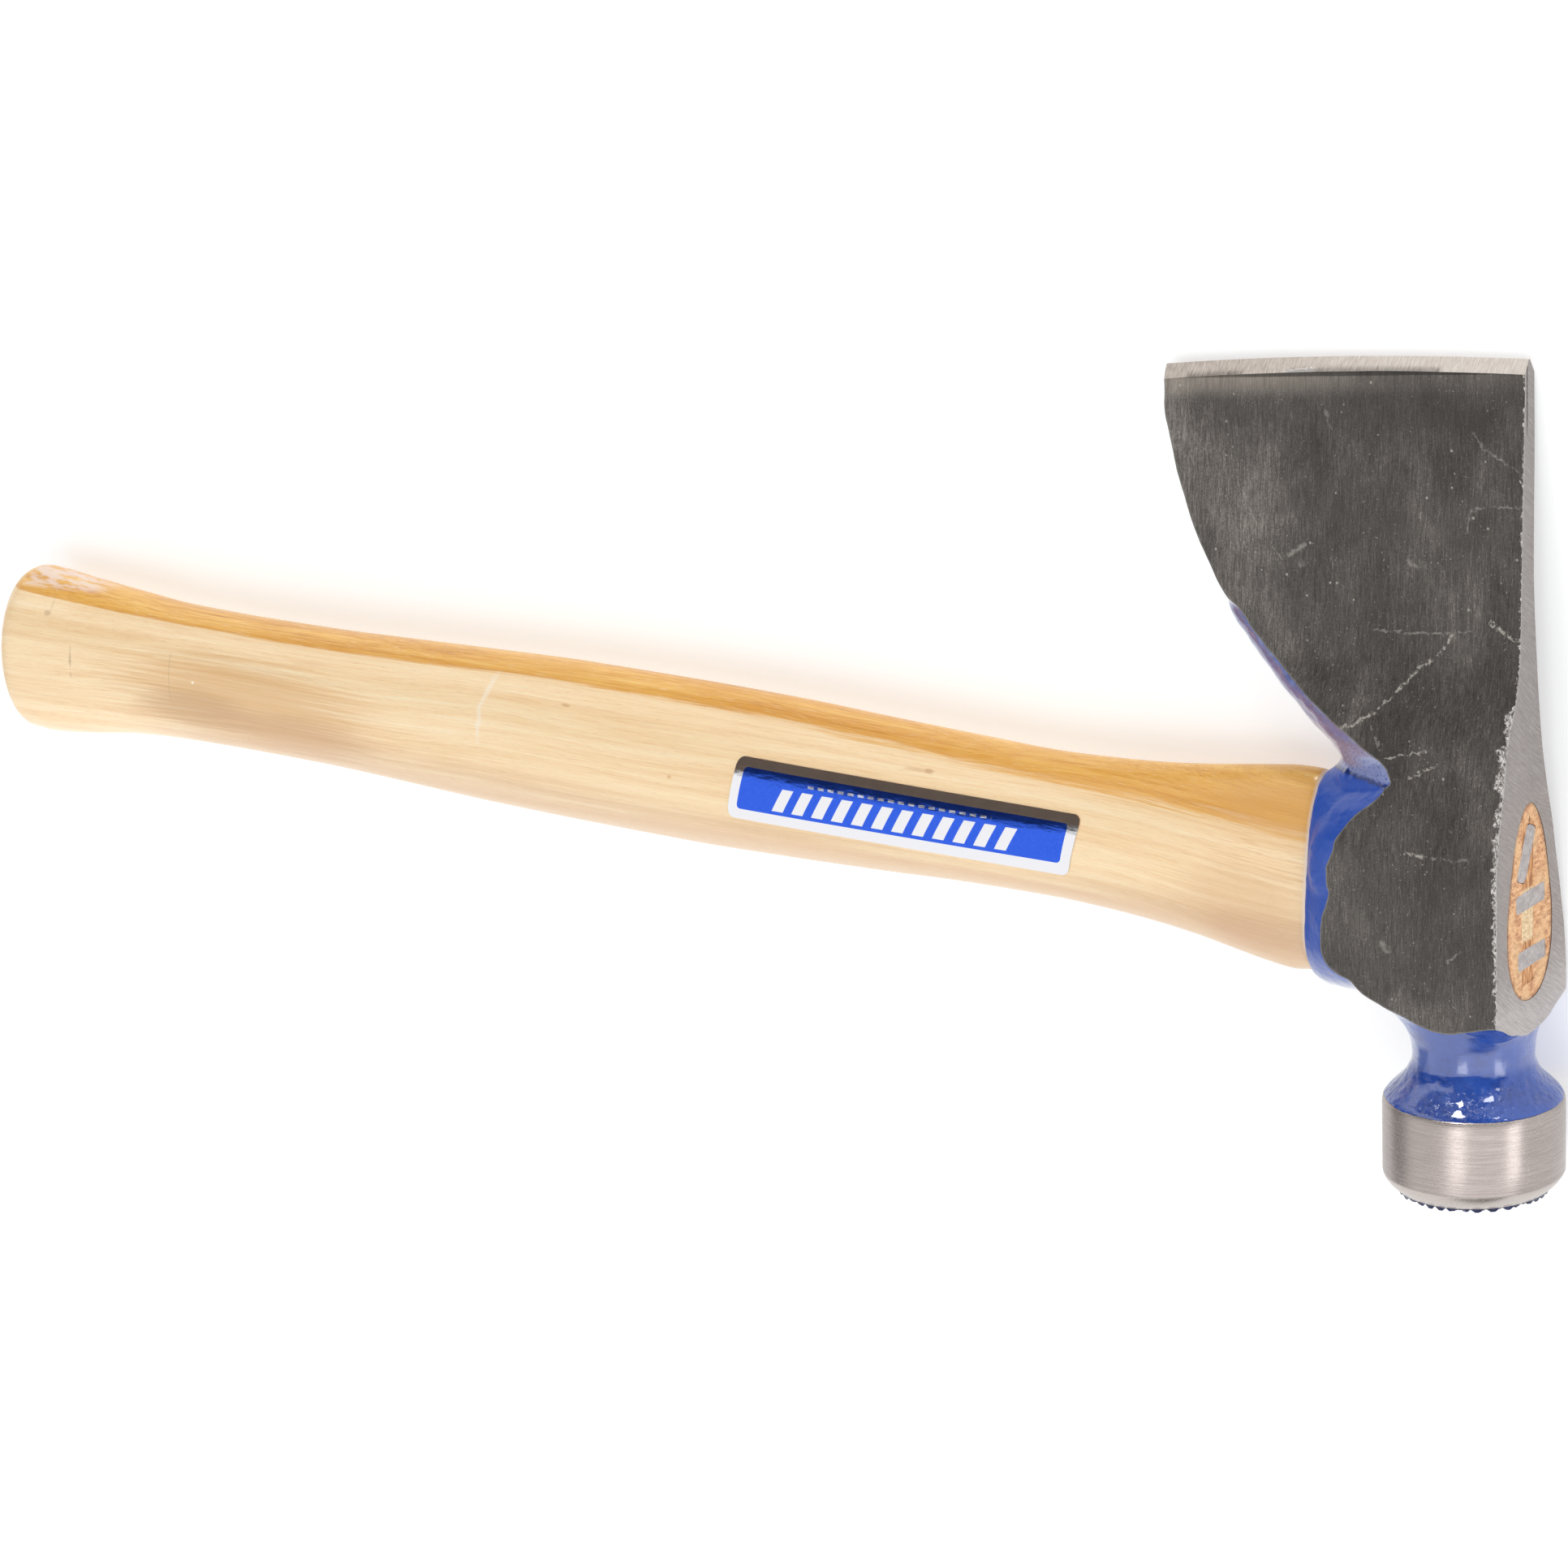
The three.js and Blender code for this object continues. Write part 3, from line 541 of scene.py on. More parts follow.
    # rubbed band under the edge bevel, a painted shade band further below it, and a dark line along the bevel's foot
    below = n.m("SUBTRACT", n.m("MULTIPLY_ADD", x, 0.1108, 113.9), y)
    rub = n.step(n.m("ADD", below, n.m("MULTIPLY_ADD", lines, 6.0, -3.0)), 5.5, 0.3)
    rub = n.m("MULTIPLY", rub, n.step(x, -25.0, -70.0, 0.22, 1.0))
    rub = n.m("MULTIPLY", rub, n.step(lines, 0.3, 0.62, 0.45, 1.0))
    col = n.mix(n.m("MULTIPLY", rub, 0.62), col, srgb(168, 158, 146))
    shade = n.m("MULTIPLY", n.step(below, 2.5, 5.5), n.step(below, 16.0, 8.0))
    col = n.mix(n.m("MULTIPLY", shade, 0.28), col, srgb(48, 45, 43))
    line = n.step(below, 0.34, 0.1)
    col = n.mix(n.m("MULTIPLY", line, n.step(x, -86.0, -60.0, 0.35, 0.7)), col, srgb(34, 31, 29))
    # bright worn line along the paint, and the torn burr along the end face
    near = n.step(n.m("ADD", n.attr("d_paint"), n.m("MULTIPLY_ADD", jit, 0.5, -0.25)), 0.42, 0.1)
    col = n.mix(n.m("MULTIPLY", near, 0.5), col, srgb(150, 146, 140))
    slow = n.noise(n.scale(p, (0.0, 0.22, 0.0)), 1.0, 2.0, 0.6)
    width = n.curve(y, [(-30, 0.15), (-14, 0.5), (4, 0.7), (16, 1.0), (24, 1.5), (40, 1.7), (45, 0.25), (60, 0.12)])
    width = n.m("MULTIPLY", width, n.step(slow, 0.34, 0.62, 0.35, 1.45))
    chunky = n.noise(n.scale(p, (0.75, 0.6, 0.75)), 1.0, 2.0, 0.6)
    edge = n.m("ADD", n.m("MULTIPLY", x, -1.0), n.m("ADD", n.m("MULTIPLY_ADD", jit, 1.6, -0.8), n.m("MULTIPLY_ADD", chunky, 3.0, -1.5)))
    burr = n.step(n.m("SUBTRACT", edge, width), 0.12, -0.12)
    burr = n.m("MULTIPLY", burr, n.step(n.m("ABSOLUTE", x), 5.0, 4.0))
    flake = n.noise(n.scale(p, (1.8, 1.3, 1.8)), 1.0, 3.0, 0.75)
    burr = n.m("MULTIPLY", burr, n.step(flake, 0.36, 0.46))
    col = n.mix(n.m("MULTIPLY", burr, 0.92), col, n.ramp(flake, [(0.40, srgb(104, 98, 94)), (0.50, srgb(168, 162, 156)), (0.62, srgb(240, 237, 234))]))
    n.set("Base Color", col)
    n.set("Roughness", n.m("ADD", n.step(lines, 0.2, 0.8, 0.42, 0.56), n.m("MULTIPLY", burr, 0.1)))
    h = n.m("ADD", n.m("MULTIPLY", lines, 0.02), n.m("ADD", n.m("MULTIPLY", fine, 0.01), n.m("MULTIPLY", grit, 0.012)))
    h = n.m("ADD", h, n.m("MULTIPLY", n.m("MULTIPLY", burr, flake), 0.25))
    n.set("Normal", n.bump(h, 1.0, 0.8))
    return n.mat


def edge_steel():
    """Bevel at the cutting edge: bright, ground square to the edge."""
    n = Nodes("edge_bevel_steel", Metallic=0.85, Roughness=0.34)
    x, y, z = n.xyz()
    lean = n.m("MULTIPLY_ADD", y, -0.12, x)
    lines = n.noise(n.vec(n.m("MULTIPLY", lean, 3.2), n.m("MULTIPLY", y, 0.2), z), 1.0, 3.0, 0.65)
    fine = n.noise(n.vec(n.m("MULTIPLY", lean, 8.0), n.m("MULTIPLY", y, 0.5), z), 1.0, 2.0, 0.6)
    tone = n.m("ADD", n.m("MULTIPLY", lines, 0.65), n.m("MULTIPLY", fine, 0.45))
    tone = n.m("ADD", tone, n.step(x, -88.0, -20.0, -0.06, 0.1))
    col = n.ramp(n.step(tone, 0.3, 0.8, 0.0, 1.0, smooth=False),
                 [(0.0, srgb(150, 138, 128)), (0.5, srgb(206, 195, 185)), (1.0, srgb(240, 232, 224))])
    # chip of torn metal part way along
    j = n.noise(n.scale(n.mm(), (0.8, 0.8, 0.8)), 1.0, 3.0, 0.6)
    below = n.m("SUBTRACT", n.m("MULTIPLY_ADD", x, 0.1108, 113.9), y)
    chip = n.m("MULTIPLY", n.step(x, -67.0, -56.0), n.step(x, -49.5, -51.5))
    reach = n.m("MULTIPLY", n.step(x, -66.0, -52.0, -0.1, 1.6), 1.0)
    chip = n.m("MULTIPLY", chip, n.step(n.m("ADD", n.m("ADD", below, reach), n.m("MULTIPLY_ADD", j, 1.6, -0.8)), 0.0, 0.25))
    col = n.mix(n.m("MULTIPLY", chip, 0.8), col, srgb(226, 222, 218))
    n.set("Base Color", col)
    n.set("Roughness", n.step(lines, 0.2, 0.8, 0.28, 0.42))
    n.set("Normal", n.bump(n.m("ADD", n.m("MULTIPLY", lines, 0.03), n.m("ADD", n.m("MULTIPLY", fine, 0.015), n.m("MULTIPLY", chip, n.m("MULTIPLY", j, 0.2)))), 1.0, 0.9))
    return n.mat


def end_steel():
    """End face: mid grey, ground on a slant."""
    n = Nodes("end_face_steel", Metallic=0.75, Roughness=0.42)
    x, y, z = n.xyz()
    a = math.radians(38)
    u = n.m("MULTIPLY_ADD", z, math.cos(a), n.m("MULTIPLY", y, math.sin(a)))
    v = n.m("MULTIPLY_ADD", z, -math.sin(a), n.m("MULTIPLY", y, math.cos(a)))
    bend = n.noise(n.scale(n.mm(), (0.04, 0.04, 0.04)), 1.0, 1.0)
    v = n.m("ADD", v, n.m("MULTIPLY", bend, 6.0))
    lines = n.noise(n.vec(n.m("MULTIPLY", u, 0.16), n.m("MULTIPLY", v, 2.6), x), 1.0, 3.0, 0.65)
    fine = n.noise(n.vec(n.m("MULTIPLY", u, 0.5), n.m("MULTIPLY", v, 7.0), x), 1.0, 2.0, 0.6)
    tone = n.m("ADD", n.m("MULTIPLY", lines, 0.6), n.m("MULTIPLY", fine, 0.4))
    tone = n.m("ADD", tone, n.step(y, -8.0, -27.0, 0.0, 0.2))
    tone = n.m("ADD", tone, n.step(z, -4.0, -16.0, 0.0, 0.08))
    col = n.ramp(n.step(tone, 0.25, 0.85, 0.0, 1.0, smooth=False),
                 [(0.0, srgb(120, 114, 111)), (0.5, srgb(160, 153, 150)), (1.0, srgb(206, 200, 197))])
    j = n.noise(n.scale(n.mm(), (0.9, 0.9, 0.9)), 1.0, 3.0, 0.65)
    near = n.m("ADD", n.attr("d_cheek"), n.m("MULTIPLY_ADD", j, 1.8, -0.9))
    side = n.step(z, 1.0, 2.0)
    burr = n.m("MULTIPLY", n.step(near, 0.7, 0.2), n.m("MULTIPLY", side, n.step(y, 48.0, 38.0, 0.35, 0.9)))
    col = n.mix(n.m("MULTIPLY", burr, 0.8), col, n.ramp(j, [(0.35, srgb(110, 104, 100)), (0.55, srgb(226, 222, 218))]))
    dark = n.m("MULTIPLY", n.step(n.m("ABSOLUTE", n.m("SUBTRACT", z, 0.9)), 0.35, 0.1), n.m("MULTIPLY", n.step(y, 99.0, 104.0), n.step(j, 0.3, 0.6, 0.6, 1.0)))
    col = n.mix(n.m("MULTIPLY", dark, 0.9), col, srgb(44, 36, 36))
    n.set("Base Color", col)
    n.set("Roughness", n.step(lines, 0.2, 0.8, 0.34, 0.5))
    n.set("Normal", n.bump(n.m("ADD", n.m("MULTIPLY", lines, 0.03), n.m("ADD", n.m("MULTIPLY", fine, 0.012), n.m("MULTIPLY", n.m("MULTIPLY", burr, j), 0.3))), 1.0, 0.8))
    return n.mat


def poll_steel():
    """Striking end: bright, turned, so it is brushed round its axis."""
    n = Nodes("poll_turned_steel", Metallic=1.0, Roughness=0.27)
    x, y, z = n.xyz()
    round_ = n.noise(n.vec(n.m("MULTIPLY", x, 0.10), n.m("MULTIPLY", y, 3.4), n.m("MULTIPLY", z, 0.10)), 1.0, 3.0, 0.6)
    fine = n.noise(n.vec(n.m("MULTIPLY", x, 0.35), n.m("MULTIPLY", y, 9.0), n.m("MULTIPLY", z, 0.35)), 1.0, 2.0, 0.6)
    grit = n.noise(n.scale(n.mm(), (1.5, 4.5, 1.5)), 1.0, 2.0, 0.7)
    tone = n.m("ADD", n.m("MULTIPLY", round_, 0.5), n.m("ADD", n.m("MULTIPLY", fine, 0.3), n.m("MULTIPLY", grit, 0.3)))
    col = n.ramp(n.step(tone, 0.3, 0.85, 0.0, 1.0, smooth=False),
                 [(0.0, srgb(142, 133, 129)), (0.5, srgb(170, 160, 156)), (1.0, srgb(198, 190, 185))])
    # the turned chamfer is painted brighter: a painted highlight
    col = n.mix(n.step(y, -60.4, -61.0, 0.0, 0.42), col, srgb(226, 216, 209))
    n.set("Base Color", col)
    n.set("Roughness", n.step(grit, 0.25, 0.75, 0.2, 0.34))
    n.shader.inputs["Anisotropic"].default_value = 0.55
    n.set("Normal", n.bump(n.m("ADD", n.m("MULTIPLY", round_, 0.03), n.m("ADD", n.m("MULTIPLY", fine, 0.012), n.m("MULTIPLY", grit, 0.006))), 1.0, 0.9))
    return n.mat


def paint(name="brushed_on_blue", dark=False):
    """Thick glossy enamel, brushed on, with ripples, runs and a few bubbles."""
    n = Nodes(name, Roughness=0.16)
    n.shader.inputs["IOR"].default_value = 1.5
    n.shader.inputs["Coat Weight"].default_value = 1.0
    n.shader.inputs["Coat IOR"].default_value = 1.75
    n.shader.inputs["Coat Roughness"].default_value = 0.05
    x, y, z = n.xyz()
    p = n.mm()
    a = n.noise(n.scale(p, (0.16, 0.22, 0.16)), 1.0, 2.0, 0.5, 0.3)
    b = n.noise(n.scale(p, (0.55, 0.75, 0.55)), 1.0, 3.0, 0.55, 0.5)
    c = n.noise(n.scale(p, (1.9, 1.9, 1.9)), 1.0, 2.0, 0.6)
    tone = n.m("ADD", n.m("MULTIPLY", a, 0.5), n.m("MULTIPLY", b, 0.5))
    if dark:
        col = n.mix(n.step(tone, 0.3, 0.7), srgb(14, 20, 52), srgb(26, 38, 88))
        n.shader.inputs["Coat Weight"].default_value = 0.0
        n.shader.inputs["IOR"].default_value = 1.4
    else:
        col = n.ramp(n.step(tone, 0.3, 0.72, 0.0, 1.0, smooth=False),
                     [(0.0, srgb(24, 52, 122)), (0.5, srgb(34, 72, 156)), (1.0, srgb(46, 86, 168))])
        col = n.mix(n.step(y, 31.0, 22.0, 0.0, 0.25), col, srgb(36, 78, 176))
        # the collar's coat has sunk in and is only satin
        wave = n.m("ADD", y, n.m("MULTIPLY_ADD", b, 1.6, -0.8))
        back = n.step(x, -20.0, -26.0)
        satin = n.m("MULTIPLY", back, n.m("MULTIPLY", n.step(wave, 24.9, 23.7), n.step(y, -24.0, -12.0)))
        col = n.mix(satin, col, srgb(30, 76, 172))
        # painted lilac reflection where the beard runs down on to the collar, and painted shade in the crease under it
        beard_reflection = n.m("MULTIPLY", back, n.m("MULTIPLY", n.step(wave, 24.6, 25.4), n.step(y, 33.5, 29.5)))
        beard_reflection = n.m("MULTIPLY", beard_reflection, n.step(c, 0.62, 0.56))
        col = n.mix(n.m("MULTIPLY", beard_reflection, 0.8), col, srgb(124, 134, 182))
        crease_shade = n.m("MULTIPLY", back, n.step(n.m("ABSOLUTE", n.m("SUBTRACT", wave, 24.5)), 0.7, 0.15))
        col = n.mix(n.m("MULTIPLY", crease_shade, 0.7), col, srgb(18, 32, 88))
        thin = n.m("MULTIPLY", n.step(y, -34.0, -37.5), n.step(n.m("ABSOLUTE", n.m("SUBTRACT", x, POLL_X)), 4.0, 9.0))
        n.set("Coat Weight", n.m("SUBTRACT", 1.0, n.m("MULTIPLY_ADD", satin, 0.92, n.m("MULTIPLY", thin, 0.62))))
    n.set("Base Color", col)
    # the flare above the poll is pebbled, the rest only rippled
    flare = n.m("MULTIPLY", n.step(y, -36.5, -39.5), 1.0)
    peb = n.cells(n.add(p, n.scale(n.vec(b, c, b), (1.2, 1.2, 1.2))), 0.62, feature="SMOOTH_F1")
    h = n.m("ADD", n.m("MULTIPLY", a, 0.55), n.m("MULTIPLY", b, 0.14))
    h = n.m("ADD", h, n.m("MULTIPLY", c, n.lerp(flare, 0.012, 0.09)))
    h = n.m("ADD", h, n.m("MULTIPLY", n.m("MULTIPLY", peb, flare), -0.58))
    n.set("Normal", n.bump(h, 1.0, 0.8))
    rough = n.step(b, 0.3, 0.7, 0.12, 0.22)
    n.set("Roughness", rough if dark else n.lerp(satin, rough, 0.34))
    return n.mat


def dark_gap():
    n = Nodes("eye_bore", Roughness=0.7)
    n.set("Base Color", n.mix(n.noise(n.mm(), 0.8, 3.0), srgb(70, 44, 28), srgb(112, 74, 48)))
    return n.mat


def wood():
    """Lacquered hickory: pale sides, honey strip on top, fine streaks, smudges; the strip is partly the wood's colour
    and partly painted shade.
    """
    n = Nodes("lacquered_hickory", Roughness=0.36)
    n.shader.inputs["Coat Weight"].default_value = 0.35
    n.shader.inputs["Coat Roughness"].default_value = 0.12
    x, y, z = n.xyz()
    p = n.mm()
    # grain runs along X, and leans up a little towards the head
    drift = n.noise(n.scale(p, (0.006, 0.03, 0.03)), 1.0, 2.0)
    yy = n.m("ADD", y, n.m("MULTIPLY_ADD", drift, 10.0, -5.0))
    yy = n.m("ADD", yy, n.step(x, -120.0, -45.0, 0.0, 5.0))
    g1 = n.noise(n.vec(n.m("MULTIPLY", x, 0.012), n.m("MULTIPLY", yy, 0.42), n.m("MULTIPLY", z, 0.25)), 1.0, 3.0, 0.55)
    g2 = n.noise(n.vec(n.m("MULTIPLY", x, 0.035), n.m("MULTIPLY", yy, 1.7), n.m("MULTIPLY", z, 0.9)), 1.0, 3.0, 0.6)
    g3 = n.noise(n.vec(n.m("MULTIPLY", x, 0.10), n.m("MULTIPLY", yy, 4.6), n.m("MULTIPLY", z, 3.0)), 1.0, 2.0, 0.6)
    pores = n.noise(n.vec(n.m("MULTIPLY", x, 0.32), n.m("MULTIPLY", yy, 7.5), n.m("MULTIPLY", z, 6.0)), 1.0, 2.0, 0.6)
    tone = n.m("ADD", n.m("MULTIPLY", g1, 0.40), n.m("ADD", n.m("MULTIPLY", g2, 0.25), n.m("MULTIPLY", g3, 0.35)))
    pale = n.ramp(n.step(tone, 0.33, 0.68, 0.0, 1.0, smooth=False),
                  [(0.0, srgb(236, 196, 144)), (0.35, srgb(248, 214, 166)), (0.65, srgb(254, 227, 184)), (1.0, srgb(255, 240, 208))])
    honey = n.ramp(n.step(tone, 0.33, 0.68, 0.0, 1.0, smooth=False),
                   [(0.0, srgb(196, 126, 36)), (0.35, srgb(228, 164, 66)), (0.65, srgb(244, 190, 94)), (1.0, srgb(252, 212, 132))])
    # boundary of the honey strip on the side of the handle: the strip is partly the wood's own colour and partly
    # painted shade on the upper side
    edge = n.curve(x, [(-431, 17.0), (-414, 16.0), (-393, 14.7), (-372, 14.0), (-340, 13.7), (-319, 14.0), (-289, 14.9),
                       (-259, 15.8), (-230, 15.8), (-211, 15.5), (-190, 15.2), (-172, 14.5), (-150, 13.4), (-137, 12.8),
                       (-115, 11.6), (-95, 10.9), (-72, 10.6), (-48, 9.5)])
    soft = n.curve(x, [(-431, 0.35), (-300, 0.6), (-230, 1.0), (-180, 2.0), (-120, 2.6), (-60, 4.0), (-48, 5.0)])
    over = n.m("SUBTRACT", y, edge)
    over = n.m("ADD", over, n.m("MULTIPLY", n.m("MULTIPLY_ADD", g2, 2.0, -1.0), soft))
    over = n.m("ADD", over, n.m("MULTIPLY", n.m("MULTIPLY_ADD", g1, 1.6, -0.8), soft))
    top = n.step(n.m("DIVIDE", over, soft), -0.45, 0.45)
    # the strip stays on the upper side of the section only
    col = n.mix(top, pale, honey)
    # deeper orange inside the strip along the grain: more of the same painted shade mixed with the wood's colour
    deep = n.m("MULTIPLY", top, n.step(n.m("DIVIDE", over, soft), 3.2, 0.2, 0.0, 0.4))
    col = n.mix(n.m("MULTIPLY", deep, n.step(g2, 0.35, 0.6)), col, srgb(214, 146, 70))
    # darker pinkish tan towards the lower edge: painted shade where the section rounds under
    low = n.m("ADD", y, n.m("MULTIPLY_ADD", g1, 8.0, -4.0))
    col = n.mix(n.m("MULTIPLY", n.step(low, -4.0, -14.0, 0.0, 0.72), n.step(x, -400.0, -360.0)), col, srgb(216, 180, 142))
    # streaks and pores
    streak = n.step(g3, 0.56, 0.72)
    col = n.mix(n.m("MULTIPLY", streak, 0.16), col, srgb(200, 150, 98))
    col = n.mix(n.m("MULTIPLY", n.step(pores, 0.58, 0.74), 0.3), col, srgb(188, 138, 84))
    shine = n.noise(n.vec(n.m("MULTIPLY", x, 0.22), n.m("MULTIPLY", yy, 5.5), n.m("MULTIPLY", z, 4.0)), 1.0, 2.0, 0.6)
    col = n.mix(n.m("MULTIPLY", n.step(shine, 0.58, 0.74), 0.35), col, srgb(255, 240, 214))
    lively = n.m("MULTIPLY", n.step(x, -95.0, -62.0), n.m("MULTIPLY", n.step(y, -6.0, 4.0), n.step(g3, 0.50, 0.64)))
    col = n.mix(n.m("MULTIPLY", lively, 0.42), col, srgb(216, 150, 78))
    # grey smudge near the butt, and a second fainter one
    def blot(cx, cy, rx, ry, amount, colour, c0):
        ex = n.m("DIVIDE", n.m("SUBTRACT", x, cx), rx)
        ey = n.m("DIVIDE", n.m("SUBTRACT", y, cy), ry)
        d = n.m("SQRT", n.m("MULTIPLY_ADD", ex, ex, n.m("MULTIPLY", ey, ey)))
        d = n.m("ADD", d, n.m("MULTIPLY_ADD", g2, 0.9, -0.45))
        return n.mix(n.m("MULTIPLY", n.step(d, 1.1, 0.35), amount), c0, colour)
    col = blot(-350.0, -1.5, 50.0, 13.0, 0.60, srgb(216, 168, 110), col)
    col = blot(-366.0, -5.0, 22.0, 6.5, 0.46, srgb(190, 148, 104), col)
    col = blot(-335.0, -8.0, 32.0, 7.0, 0.46, srgb(200, 156, 116), col)
    col = blot(-66.0, -6.0, 20.0, 9.0, 0.38, srgb(216, 172, 126), col)
    col = blot(-62.0, -14.0, 18.0, 6.0, 0.35, srgb(206, 160, 126), col)
    col = blot(-56.0, 14.0, 24.0, 8.0, 0.5, srgb(222, 168, 102), col)
    # knocks and pen marks
    col = blot(-415.4, 12.6, 1.3, 0.8, 0.36, srgb(150, 118, 76), col)
    col = blot(-414.6, 14.6, 0.6, 1.8, 0.14, srgb(150, 122, 84), col)
    for cy, ry_, a_ in ((5.0, 1.1, 0.16), (2.2, 2.3, 0.42), (-1.6, 0.9, 0.18)):
        col = blot(-406.4, cy, 0.5, ry_, a_, srgb(140, 116, 84), col)
    col = blot(-150.6, 10.0, 5.0, 0.5, 0.4, srgb(206, 152, 94), col)
    col = blot(-147.5, 10.1, 1.6, 0.6, 0.5, srgb(186, 128, 74), col)
    col = blot(-250.6, 11.2, 1.6, 0.5, 0.5, srgb(200, 150, 96), col)
    col = blot(-218.3, -0.5, 0.8, 0.5, 0.5, srgb(214, 150, 84), col)
    col = blot(-366.2, 1.7, 0.55, 0.5, 0.9, srgb(255, 248, 228), col)
    # painted reflection, pale, on the upper side of the butt's flare
    flare_reflection = n.m("MULTIPLY", n.step(y, 17.4, 18.8), n.step(x, -398.0, -408.0))
    flare_reflection = n.m("MULTIPLY", flare_reflection, n.step(n.noise(n.scale(p, (0.12, 0.6, 0.6)), 1.0, 3.0, 0.6), 0.36, 0.54))
    flare_reflection = n.m("MULTIPLY", flare_reflection, n.step(x, -427.5, -425.0))
    col = n.mix(n.m("MULTIPLY", flare_reflection, 0.75), col, srgb(246, 226, 218))
    j = n.noise(n.scale(p, (0.25, 0.25, 0.25)), 1.0, 2.0)
    scuff = n.step(n.m("ABSOLUTE", n.m("ADD", n.m("ADD", x, 275.6), n.m("ADD", n.m("MULTIPLY_ADD", j, 3.0, -1.5), n.m("MULTIPLY", n.m("MAXIMUM", n.m("SUBTRACT", y, 8.0), 0.0), -0.35)))), 1.1, 0.3)
    scuff = n.m("MULTIPLY", scuff, n.m("MULTIPLY", n.step(y, 16.5, 13.0), n.step(y, -3.0, 3.0)))
    col = n.mix(n.m("MULTIPLY", scuff, 0.5), col, srgb(253, 242, 226))
    mark = n.step(n.m("ABSOLUTE", n.m("ADD", x, 374.0)), 0.3, 0.1)
    mark = n.m("MULTIPLY", mark, n.m("MULTIPLY", n.step(n.m("ABSOLUTE", n.m("SUBTRACT", y, 2.0)), 6.5, 5.0), 0.17))
    col = n.mix(mark, col, srgb(150, 120, 90))
    # pale gap line where the lacquer stops short of the collar
    rim = n.step(x, -50.2, -49.4)
    col = n.mix(n.m("MULTIPLY", rim, 0.8), col, srgb(250, 232, 220))
    # end grain on the butt and in the eye
    ring = n.noise(n.vec(0.0, n.m("MULTIPLY", y, 0.9), n.m("MULTIPLY", z, 0.5)), 1.0, 3.0, 0.6, 0.6)
    pit = n.noise(n.scale(p, (2.4, 2.4, 2.4)), 1.0, 3.0, 0.7)
    endc = n.ramp(n.m("MULTIPLY_ADD", ring, 0.6, n.m("MULTIPLY", pit, 0.4)),
                  [(0.34, srgb(142, 92, 62)), (0.44, srgb(190, 134, 90)), (0.54, srgb(224, 172, 122)), (0.68, srgb(238, 200, 156))])
    stain = n.step(n.m("ADD", n.attr("d_rim"), n.m("MULTIPLY_ADD", pit, 1.4, -0.7)), 1.0, 0.1)
    stain = n.m("MULTIPLY", stain, n.step(x, -3.0, -0.6))
    endc = n.mix(n.m("MULTIPLY", stain, 0.75), endc, srgb(112, 66, 34))
    light = n.step(n.noise(n.scale(p, (0.1, 0.16, 0.3)), 1.0, 2.0), 0.45, 0.6)
    endc = n.mix(n.m("MULTIPLY", light, 0.45), endc, srgb(228, 190, 142))
    is_end = n.m("ADD", n.step(x, -0.8, -0.35), n.step(x, -430.2, -430.8), clamp=True)
    col = n.mix(is_end, col, endc)
    n.set("Base Color", col)
    n.set("Roughness", n.lerp(is_end, n.step(g2, 0.3, 0.7, 0.3, 0.42), 0.7))
    h = n.m("ADD", n.m("MULTIPLY", g3, 0.02), n.m("ADD", n.m("MULTIPLY", pores, 0.012), n.m("MULTIPLY", g1, 0.05)))
    h = n.m("ADD", h, n.m("MULTIPLY", n.m("MULTIPLY", pit, is_end), 0.2))
    n.set("Normal", n.bump(h, 1.0, 0.6))
    return n.mat


def wedge_wood():
    n = Nodes("wedge_end_grain", Roughness=0.7)
    x, y, z = n.xyz()
    a = n.noise(n.scale(n.mm(), (1.0, 1.6, 1.2)), 1.0, 4.0, 0.7)
    b = n.noise(n.vec(x, n.m("MULTIPLY", y, 0.25), n.m("MULTIPLY", z, 1.6)), 1.0, 3.0, 0.6)
    col = n.ramp(n.m("MULTIPLY_ADD", a, 0.6, n.m("MULTIPLY", b, 0.4)),
                 [(0.32, srgb(150, 116, 80)), (0.46, srgb(214, 184, 142)), (0.6, srgb(238, 218, 182)), (0.75, srgb(250, 238, 212))])
    # stained like the handle's end everywhere but between the two lower wedges
    pale = n.m("MULTIPLY", n.step(n.m("MULTIPLY_ADD", a, 1.6, y), -7.4, -6.0), n.step(n.m("MULTIPLY_ADD", a, 1.6, y), 5.2, 4.2))
    stain = n.ramp(b, [(0.34, srgb(132, 84, 50)), (0.5, srgb(190, 132, 84)), (0.66, srgb(226, 178, 128))])
    col = n.mix(pale, stain, col)
    n.set("Base Color", col)
    n.set("Normal", n.bump(a, 0.2, 0.8))
    return n.mat


def wedge_steel():
    n = Nodes("wedge_rough_steel", Metallic=0.7, Roughness=0.48)
    x, y, z = n.xyz()
    a = n.noise(n.vec(x, n.m("MULTIPLY", y, 1.2), n.m("MULTIPLY", z, 3.2)), 1.0, 3.0, 0.65)
    b = n.noise(n.scale(n.mm(), (0.5, 0.5, 0.5)), 1.0, 3.0, 0.6)
    tone = n.m("MULTIPLY_ADD", a, 0.55, n.m("MULTIPLY", b, 0.45))
    col = n.ramp(tone, [(0.32, srgb(140, 134, 132)), (0.5, srgb(178, 172, 171)), (0.68, srgb(208, 203, 202))])
    n.set("Base Color", col)
    n.set("Roughness", n.step(b, 0.3, 0.7, 0.4, 0.6))
    n.set("Normal", n.bump(tone, 0.12, 0.8))
    return n.mat


